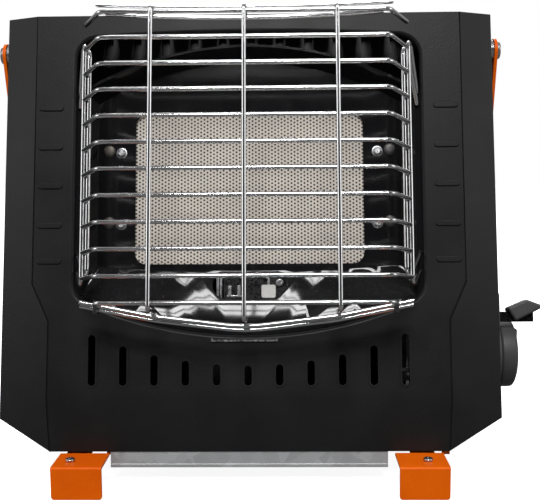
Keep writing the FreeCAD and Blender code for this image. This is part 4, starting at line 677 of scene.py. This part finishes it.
def drawn_out(name, start, direction, outline, sides):
    """A round solid drawn out from its start; its outline is distances and radii in millimetres."""
    bpy.ops.object.select_all(action="DESELECT")
    turn = direction.to_track_quat("Z", "Y").to_euler()
    reached, radius = outline[0]
    place = start + direction * reached * MM
    bpy.ops.mesh.primitive_circle_add(
        vertices=sides, radius=radius * MM, fill_type="NGON", location=place, rotation=turn
    )
    piece = bpy.context.active_object
    piece.name = name
    settle(piece)
    bpy.ops.object.mode_set(mode="EDIT")
    bpy.ops.mesh.select_all(action="SELECT")
    for travel, next_radius in outline[1:]:
        step = direction * (travel - reached) * MM
        bpy.ops.mesh.extrude_region_move(TRANSFORM_OT_translate={"value": step})
        ratio = next_radius / radius
        centre = start + direction * travel * MM
        bpy.ops.transform.resize(value=(ratio, ratio, ratio), center_override=centre)
        reached, radius = travel, next_radius
    bpy.ops.mesh.select_all(action="SELECT")
    bpy.ops.mesh.normals_make_consistent(inside=False)
    bpy.ops.object.mode_set(mode="OBJECT")
    return piece


def bar(name, low, high, edge):
    """A straight bar between two corners, in metres, with its edges rounded."""
    low = Vector(low)
    high = Vector(high)
    bpy.ops.object.select_all(action="DESELECT")
    bpy.ops.mesh.primitive_cube_add(size=1.0, location=(low + high) / 2, scale=high - low)
    piece = bpy.context.active_object
    piece.name = name
    settle(piece)
    rounded(piece, edge)
    return piece


def joined(name, pieces):
    """Several solids as one piece."""
    bpy.ops.object.select_all(action="DESELECT")
    for piece in pieces:
        piece.select_set(True)
    bpy.context.view_layer.objects.active = pieces[0]
    bpy.ops.object.join()
    pieces[0].name = name
    return pieces[0]


def copies_at(piece, moves):
    """The piece and its copies, each with its own mesh, moved from the first place."""
    made = [piece]
    for move in moves[1:]:
        copy = piece.copy()
        copy.data = piece.data.copy()
        copy.data.transform(Matrix.Translation(move - moves[0]))
        bpy.context.scene.collection.objects.link(copy)
        made.append(copy)
    return made


# Operators, one for each piece or group of like pieces


class HEATER_OT_painted_sheet(bpy.types.Operator):
    """Front panel, casing, rear panel, lid and covers in satin black powder coat"""

    bl_idname = "heater.painted_sheet"
    bl_label = "Painted sheet"

    def execute(self, context):
        sizes = context.scene.heater_sizes
        self.front(sizes)
        for node in ("casing", "rear_panel", "cartridge_lid", "regulator_cover", "rear_wall"):
            softened(node, node + "_sheet", sizes.sheet_edge)
        for node in ("heat_shield", "hinge_brackets"):
            softened(node, node + "_strip", sizes.strip_edge)
        self.lid_rest(sizes)
        return {"FINISHED"}

    def front(self, sizes):
        """The faceted front, with a fine groove along its creases."""
        panel = merged_copy("front_panel", "front_panel_sheet")
        rounded(panel, sizes.sheet_edge, CREASE_BEND[1])
        only(panel)
        bpy.ops.object.mode_set(mode="EDIT")
        pick_edges(panel, self.on_crease)
        bpy.ops.mesh.bevel(offset=sizes.crease_groove / 2, segments=1, affect="EDGES")
        depth = sizes.crease_groove * GROOVE_DEPTH_SHARE
        bpy.ops.mesh.extrude_region_shrink_fatten(TRANSFORM_OT_shrink_fatten={"value": -depth})
        bpy.ops.object.mode_set(mode="OBJECT")
        smooth(panel, degrees=25.0)
        ride_for(panel, "front_panel")

    def on_crease(self, edge):
        """True for the long outer edges between the panel and its side facets."""
        middle = (edge.verts[0].co + edge.verts[1].co) / 2
        from_middle = abs(middle.x - PANEL_ORIGIN.x)
        if len(edge.link_faces) != 2 or edge.calc_length() < CREASE_SHORTEST * MM:
            return False
        if from_middle < CREASE_FROM_MIDDLE * MM:
            return False
        first, second = (face.normal for face in edge.link_faces)
        outer = min(-first.y, -second.y) > FACET_FACES_FRONT
        beside_panel = max(-first.y, -second.y) > PANEL_FACES_FRONT
        square = min(abs(first.x), abs(second.x)) < PANEL_TURNED_MOST
        least, most = (math.radians(bend) for bend in CREASE_BEND)
        return outer and beside_panel and square and least < first.angle(second) < most

    def lid_rest(self, sizes):
        """Dark strip just inside the rear wall, behind the gap under the closed lid."""
        wall_low, wall_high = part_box("rear_wall")
        lid_low, lid_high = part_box("cartridge_lid")
        side = LID_REST_SIDE_GAP * MM
        front, back = (wall_low.y + depth * MM for depth in LID_REST_DEPTHS)
        low = (lid_low.x + side, front, wall_high.z - LID_REST_BELOW * MM)
        high = (lid_high.x - side, back, lid_low.z + LID_REST_ABOVE * MM)
        strip = bar("lid_rest_strip", low, high, sizes.strip_edge)
        ride_on(strip, "heater", "satin_black")


class HEATER_OT_reflector(bpy.types.Operator):
    """Gloss enamelled dish behind the opening"""

    bl_idname = "heater.reflector"
    bl_label = "Reflector"

    def execute(self, context):
        softened("reflector", "reflector_dish", context.scene.heater_sizes.sheet_edge)
        return {"FINISHED"}


class HEATER_OT_burner(bpy.types.Operator):
    """Ceramic plaque with its gasket, box, screws and mixing tube"""

    bl_idname = "heater.burner"
    bl_label = "Burner"

    def execute(self, context):
        self.screws()
        self.studs(context.scene.heater_colours)
        dress_nodes(("ceramic_plaque", "plaque_gasket", "burner_box", "venturi_tube"))
        return {"FINISHED"}

    def screws(self):
        """Cross-recessed screws with their washers on the dish's back."""
        places = [leaned(x, DISH_BACK, height) for x, height in BURNER_SCREWS]
        start = places[0]
        head = drawn_out("burner_screw_head", start, OUTWARDS, SCREW_HEAD, sides=32)
        upright = OUTWARDS.to_track_quat("Z", "Y").to_matrix().to_4x4()
        half = RECESS_HALF * MM
        for turn in RECESS_TURNS:
            recess = bar("recess", start - half, start + half, RECESS_EDGE * MM)
            recess.data.transform(Matrix.Translation(-start))
            recess.data.transform(Matrix.Rotation(math.radians(90.0), 4, "X"))
            recess.data.transform(Matrix.Rotation(math.radians(turn), 4, "Z"))
            recess.data.transform(Matrix.Translation(start + OUTWARDS * RECESS_RISE * MM) @ upright)
            modify(head, "BOOLEAN", object=recess, operation="DIFFERENCE", solver="EXACT")
            bpy.data.objects.remove(recess)
        screws = joined("burner_screw_heads", copies_at(head, places))
        smooth(screws)
        ride_for(screws, "burner_screws")

    def studs(self, colours):
        """Round studs on the dish's back, outside the screws, in a dull grey steel that is a painted
        highlight for the highlight on the dish's bumps.
        """
        places = []
        for x, height in BURNER_SCREWS:
            places.append(leaned(x + math.copysign(STUD_SHIFT, x), DISH_BACK, height + STUD_RISE))
        stud = drawn_out("dish_stud", places[0], OUTWARDS, STUD_SHAPE, sides=32)
        studs = joined("dish_studs", copies_at(stud, places))
        smooth(studs)
        # Painted highlight: the studs' grey steel stands in for the highlight on the dish's pressed bumps
        ride_on(studs, "heater", "burner_steel", heated_steel("dulled_stud_steel", colours.stud_highlight_steel))


class HEATER_OT_igniter(bpy.types.Operator):
    """Electrode, bracket and sensor tubes behind the small window"""

    bl_idname = "heater.igniter"
    bl_label = "Igniter"

    def execute(self, context):
        names = ("electrode_insulator", "electrode_wire", "igniter_screw")
        dress_nodes(names + ("sensor_tubes", "ignition_lead", "piezo_unit"))
        colours = context.scene.heater_colours
        # Painted shade: the bracket gets a dark copy of the plated steel, while the yoke on its prongs keeps
        # the bright screw steel
        coat_node("igniter_bracket", plated_steel("sooted_bracket_steel", colours.bracket_shade_steel))
        self.yoke(context.scene.heater_sizes)
        return {"FINISHED"}

    def yoke(self, sizes):
        """Bright yoke over the bracket's two prongs, made upright and then leaned with the panel."""
        front, back = PRONG_DEPTHS
        bottom, top = PRONG_HEIGHTS
        spans = [(x - PRONG_HALF_WIDTH, x + PRONG_HALF_WIDTH, top) for x in PRONG_PLACES]
        left, right = YOKE_PAST_PRONGS
        spans.append((PRONG_PLACES[0] - left, PRONG_PLACES[1] + right, bottom + YOKE_HEIGHT))
        bars = []
        for start, end, height in spans:
            low = Vector((start, front, bottom)) * MM
            high = Vector((end, back, height)) * MM
            bars.append(bar("yoke_bar", low, high, sizes.strip_edge))
        yoke = joined("igniter_yoke", bars)
        yoke.data.transform(Matrix.Translation(PANEL_ORIGIN) @ PANEL_TURN)
        smooth(yoke)
        ride_on(yoke, "heater", "screw_steel")


class HEATER_OT_guard(bpy.types.Operator):
    """Welded wire guard in front of the opening"""

    bl_idname = "heater.guard"
    bl_label = "Guard"

    def execute(self, context):
        names = ("guard_rows", "guard_uprights", "guard_side_wires", "guard_top_wires", "guard_bottom_wires")
        dress_nodes(names + ("guard_clips", "opening_lip"))
        return {"FINISHED"}


class HEATER_OT_controls(bpy.types.Operator):
    """Knob, lever and their bezels on the right-hand side"""

    bl_idname = "heater.controls"
    bl_label = "Controls"

    def execute(self, context):
        sizes = context.scene.heater_sizes
        self.knob(sizes)
        for node in ("knob_bezel", "lever_bezel", "lever_paddle"):
            softened(node, node + "_moulding", sizes.strip_edge)
        dress_nodes(("knob_spindle", "lever_pivot"))
        black_steel = context.scene.heater_colours.black_steel
        coat_node("lever_arm", plated_steel("blackened_lever_steel", black_steel))
        return {"FINISHED"}

    def knob(self, sizes):
        """Domed knob with a raised finger bar across its face."""
        low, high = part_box("knob")
        centre = Vector((low.x, (low.y + high.y) / 2, (low.z + high.z) / 2))
        cap = drawn_out("knob_cap", centre, Vector((1, 0, 0)), KNOB_SHAPE, sides=96)
        half_width, half_length = (half * MM for half in FINGER_BAR_HALF)
        bar_low = (low.x + FINGER_BAR_START * MM, centre.y - half_width, centre.z - half_length)
        bar_high = (high.x, centre.y + half_width, centre.z + half_length)
        finger_bar = bar("finger_bar", bar_low, bar_high, sizes.sheet_edge)
        knob = joined("knob_moulding", [cap, finger_bar])
        smooth(knob)
        ride_for(knob, "knob")


class HEATER_OT_gas_parts(bpy.types.Operator):
    """Regulator, jet, pipe and cartridge seat inside the casing"""

    bl_idname = "heater.gas_parts"
    bl_label = "Gas parts"

    def execute(self, context):
        dress_nodes(("regulator", "gas_jet", "jet_bracket", "gas_pipe"))
        dress_nodes(("cartridge_seat", "slide_guides", "collar_slide"))
        return {"FINISHED"}


class HEATER_OT_bay(bpy.types.Operator):
    """Cradle, stop, hinge pin and latch of the cartridge bay"""

    bl_idname = "heater.bay"
    bl_label = "Cartridge bay"

    def execute(self, context):
        for node in ("bay_cradle", "bay_stop"):
            softened(node, node + "_strip", context.scene.heater_sizes.strip_edge)
        dress_nodes(("lid_pin", "latch_clip", "rear_screws"))
        return {"FINISHED"}


class HEATER_OT_handle(bpy.types.Operator):
    """Strip handle with its rubber grip and pivot screws"""

    bl_idname = "heater.handle"
    bl_label = "Handle"

    def execute(self, context):
        sizes = context.scene.heater_sizes
        softened("handle_bail", "handle_strip", sizes.strip_edge)
        self.sleeve()
        dress_nodes(("handle_screws",))
        return {"FINISHED"}

    def sleeve(self):
        """Ribbed rubber sleeve round the strip."""
        low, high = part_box("handle_grip")
        start = Vector((low.x, (low.y + high.y) / 2, (low.z + high.z) / 2))
        radius = (high.z - low.z) / 2 / MM
        length = (high.x - low.x) / MM
        outline = [(along, radius - less) for along, less in SLEEVE_END]
        for rib in range(math.ceil((length - 2 * SLEEVE_PLAIN_END) / RIB_PITCH)):
            along = SLEEVE_PLAIN_END + rib * RIB_PITCH
            outline.append((along, radius))
            outline.append((along + RIB_GROOVE, radius - RIB_GROOVE))
            outline.append((along + 2 * RIB_GROOVE, radius))
        outline += [(length - along, radius - less) for along, less in reversed(SLEEVE_END)]
        sleeve = drawn_out("handle_sleeve", start, Vector((1, 0, 0)), outline, sides=40)
        smooth(sleeve, degrees=50.0)
        ride_for(sleeve, "handle_grip")


class HEATER_OT_feet(bpy.types.Operator):
    """Front feet with their brackets and screws, base channel and rear feet"""

    bl_idname = "heater.feet"
    bl_label = "Feet"

    def execute(self, context):
        edge = context.scene.heater_sizes.strip_edge
        for node in ("left_foot", "right_foot"):
            softened(node, node + "_plate", edge)
        for node in ("foot_brackets", "base_channel", "rear_feet"):
            softened(node, node + "_piece", edge)
        dress_nodes(("foot_screws", "rear_foot_screws"))
        return {"FINISHED"}


class HEATER_OT_stage(bpy.types.Operator):
    """Pale floor, soft studio light and the camera"""

    bl_idname = "heater.stage"
    bl_label = "Stage"

    def execute(self, context):
        scene = context.scene
        studio = scene.heater_studio
        self.floor(scene)
        for name, (place, target, side, power) in LIGHTS.items():
            self.light(name, place, target, side, getattr(studio, power))
        self.surroundings(scene, studio)
        self.camera(scene, studio)
        scene.view_settings.view_transform = "Standard"
        return {"FINISHED"}

    def floor(self, scene):
        """The pale floor, a hair below the feet."""
        bpy.ops.object.select_all(action="DESELECT")
        bpy.ops.mesh.primitive_plane_add(size=FLOOR_SIDE, location=(0, 0, -FLOOR_DROP))
        floor = bpy.context.active_object
        floor.name = "floor"
        settle(floor)
        glow = scene.heater_studio.floor_glow
        floor.data.materials.append(floor_paint("pale_floor", scene.heater_colours.floor, glow))

    def light(self, name, place, target, side, power):
        """A square soft light aimed at a point."""
        lamp = bpy.data.lights.new(name, "AREA")
        lamp.energy = power
        lamp.size = side
        holder = bpy.data.objects.new(name, lamp)
        bpy.context.scene.collection.objects.link(holder)
        aim = Vector(target) - Vector(place)
        holder.location = place
        holder.rotation_euler = aim.to_track_quat("-Z", "Y").to_euler()

    def surroundings(self, scene, studio):
        """Soft light from all round, weaker in front; only the camera sees plain white."""
        world = bpy.data.worlds.new("studio")
        scene.world = world
        board = Board(world)
        front = board.axes(board.node("ShaderNodeTexCoord", {}, {}, "Generated"))[1]
        strength = board.span(front, *FRONT_FADE, studio.front_fill, studio.fill)
        around = board.node("ShaderNodeBackground", {}, {"Color": WHITE, "Strength": strength})
        seen = board.node("ShaderNodeBackground", {}, {"Color": WHITE, "Strength": 1.0})
        camera_ray = board.node("ShaderNodeLightPath", {}, {}, "Is Camera Ray")
        both = board.node("ShaderNodeMixShader", {}, {0: camera_ray, 1: around, 2: seen})
        board.node("ShaderNodeOutputWorld", {}, {"Surface": both})

    def camera(self, scene, studio):
        """The camera at the photograph's place, turned, tilted and rolled."""
        lens = bpy.data.cameras.new("camera")
        lens.lens = studio.lens
        lens.sensor_width = SENSOR_WIDTH
        lens.clip_start = NEAREST_SEEN
        holder = bpy.data.objects.new("camera", lens)
        scene.collection.objects.link(holder)
        turn = Matrix.Rotation(studio.pan, 4, "Z")
        turn = turn @ Matrix.Rotation(math.radians(90) - studio.tilt, 4, "X")
        turn = turn @ Matrix.Rotation(-studio.roll, 4, "Z")
        move = Matrix.Translation((studio.camera_side, -studio.camera_distance, studio.camera_height))
        holder.matrix_world = move @ turn
        scene.camera = holder


class HEATER_PT_pieces(bpy.types.Panel):
    """The heater's pieces and settings"""

    bl_idname = "HEATER_PT_pieces"
    bl_label = "Heater"
    bl_space_type = "VIEW_3D"
    bl_region_type = "UI"
    bl_category = "Heater"

    def draw(self, context):
        for operator in OPERATORS:
            self.layout.operator(operator.bl_idname)
        for group in ("heater_sizes", "heater_colours", "heater_studio"):
            box = self.layout.box()
            settings = getattr(context.scene, group)
            for name in settings.bl_rna.properties.keys():
                if name not in ("rna_type", "name"):
                    box.prop(settings, name)


OPERATORS = (
    HEATER_OT_stage,
    HEATER_OT_painted_sheet,
    HEATER_OT_reflector,
    HEATER_OT_burner,
    HEATER_OT_igniter,
    HEATER_OT_guard,
    HEATER_OT_controls,
    HEATER_OT_gas_parts,
    HEATER_OT_bay,
    HEATER_OT_handle,
    HEATER_OT_feet,
)
GROUPS = (HeaterColours, HeaterSizes, HeaterStudio)


def register():
    for cls in GROUPS + OPERATORS + (HEATER_PT_pieces,):
        bpy.utils.register_class(cls)
    bpy.types.Scene.heater_colours = bpy.props.PointerProperty(type=HeaterColours)
    bpy.types.Scene.heater_sizes = bpy.props.PointerProperty(type=HeaterSizes)
    bpy.types.Scene.heater_studio = bpy.props.PointerProperty(type=HeaterStudio)


def unregister():
    del bpy.types.Scene.heater_studio
    del bpy.types.Scene.heater_sizes
    del bpy.types.Scene.heater_colours
    for cls in (HEATER_PT_pieces,) + OPERATORS[::-1] + GROUPS[::-1]:
        bpy.utils.unregister_class(cls)


def main():
    register()
    for operator in OPERATORS:
        group, name = operator.bl_idname.split(".")
        getattr(getattr(bpy.ops, group), name)()


if __name__ == "__main__":
    main()
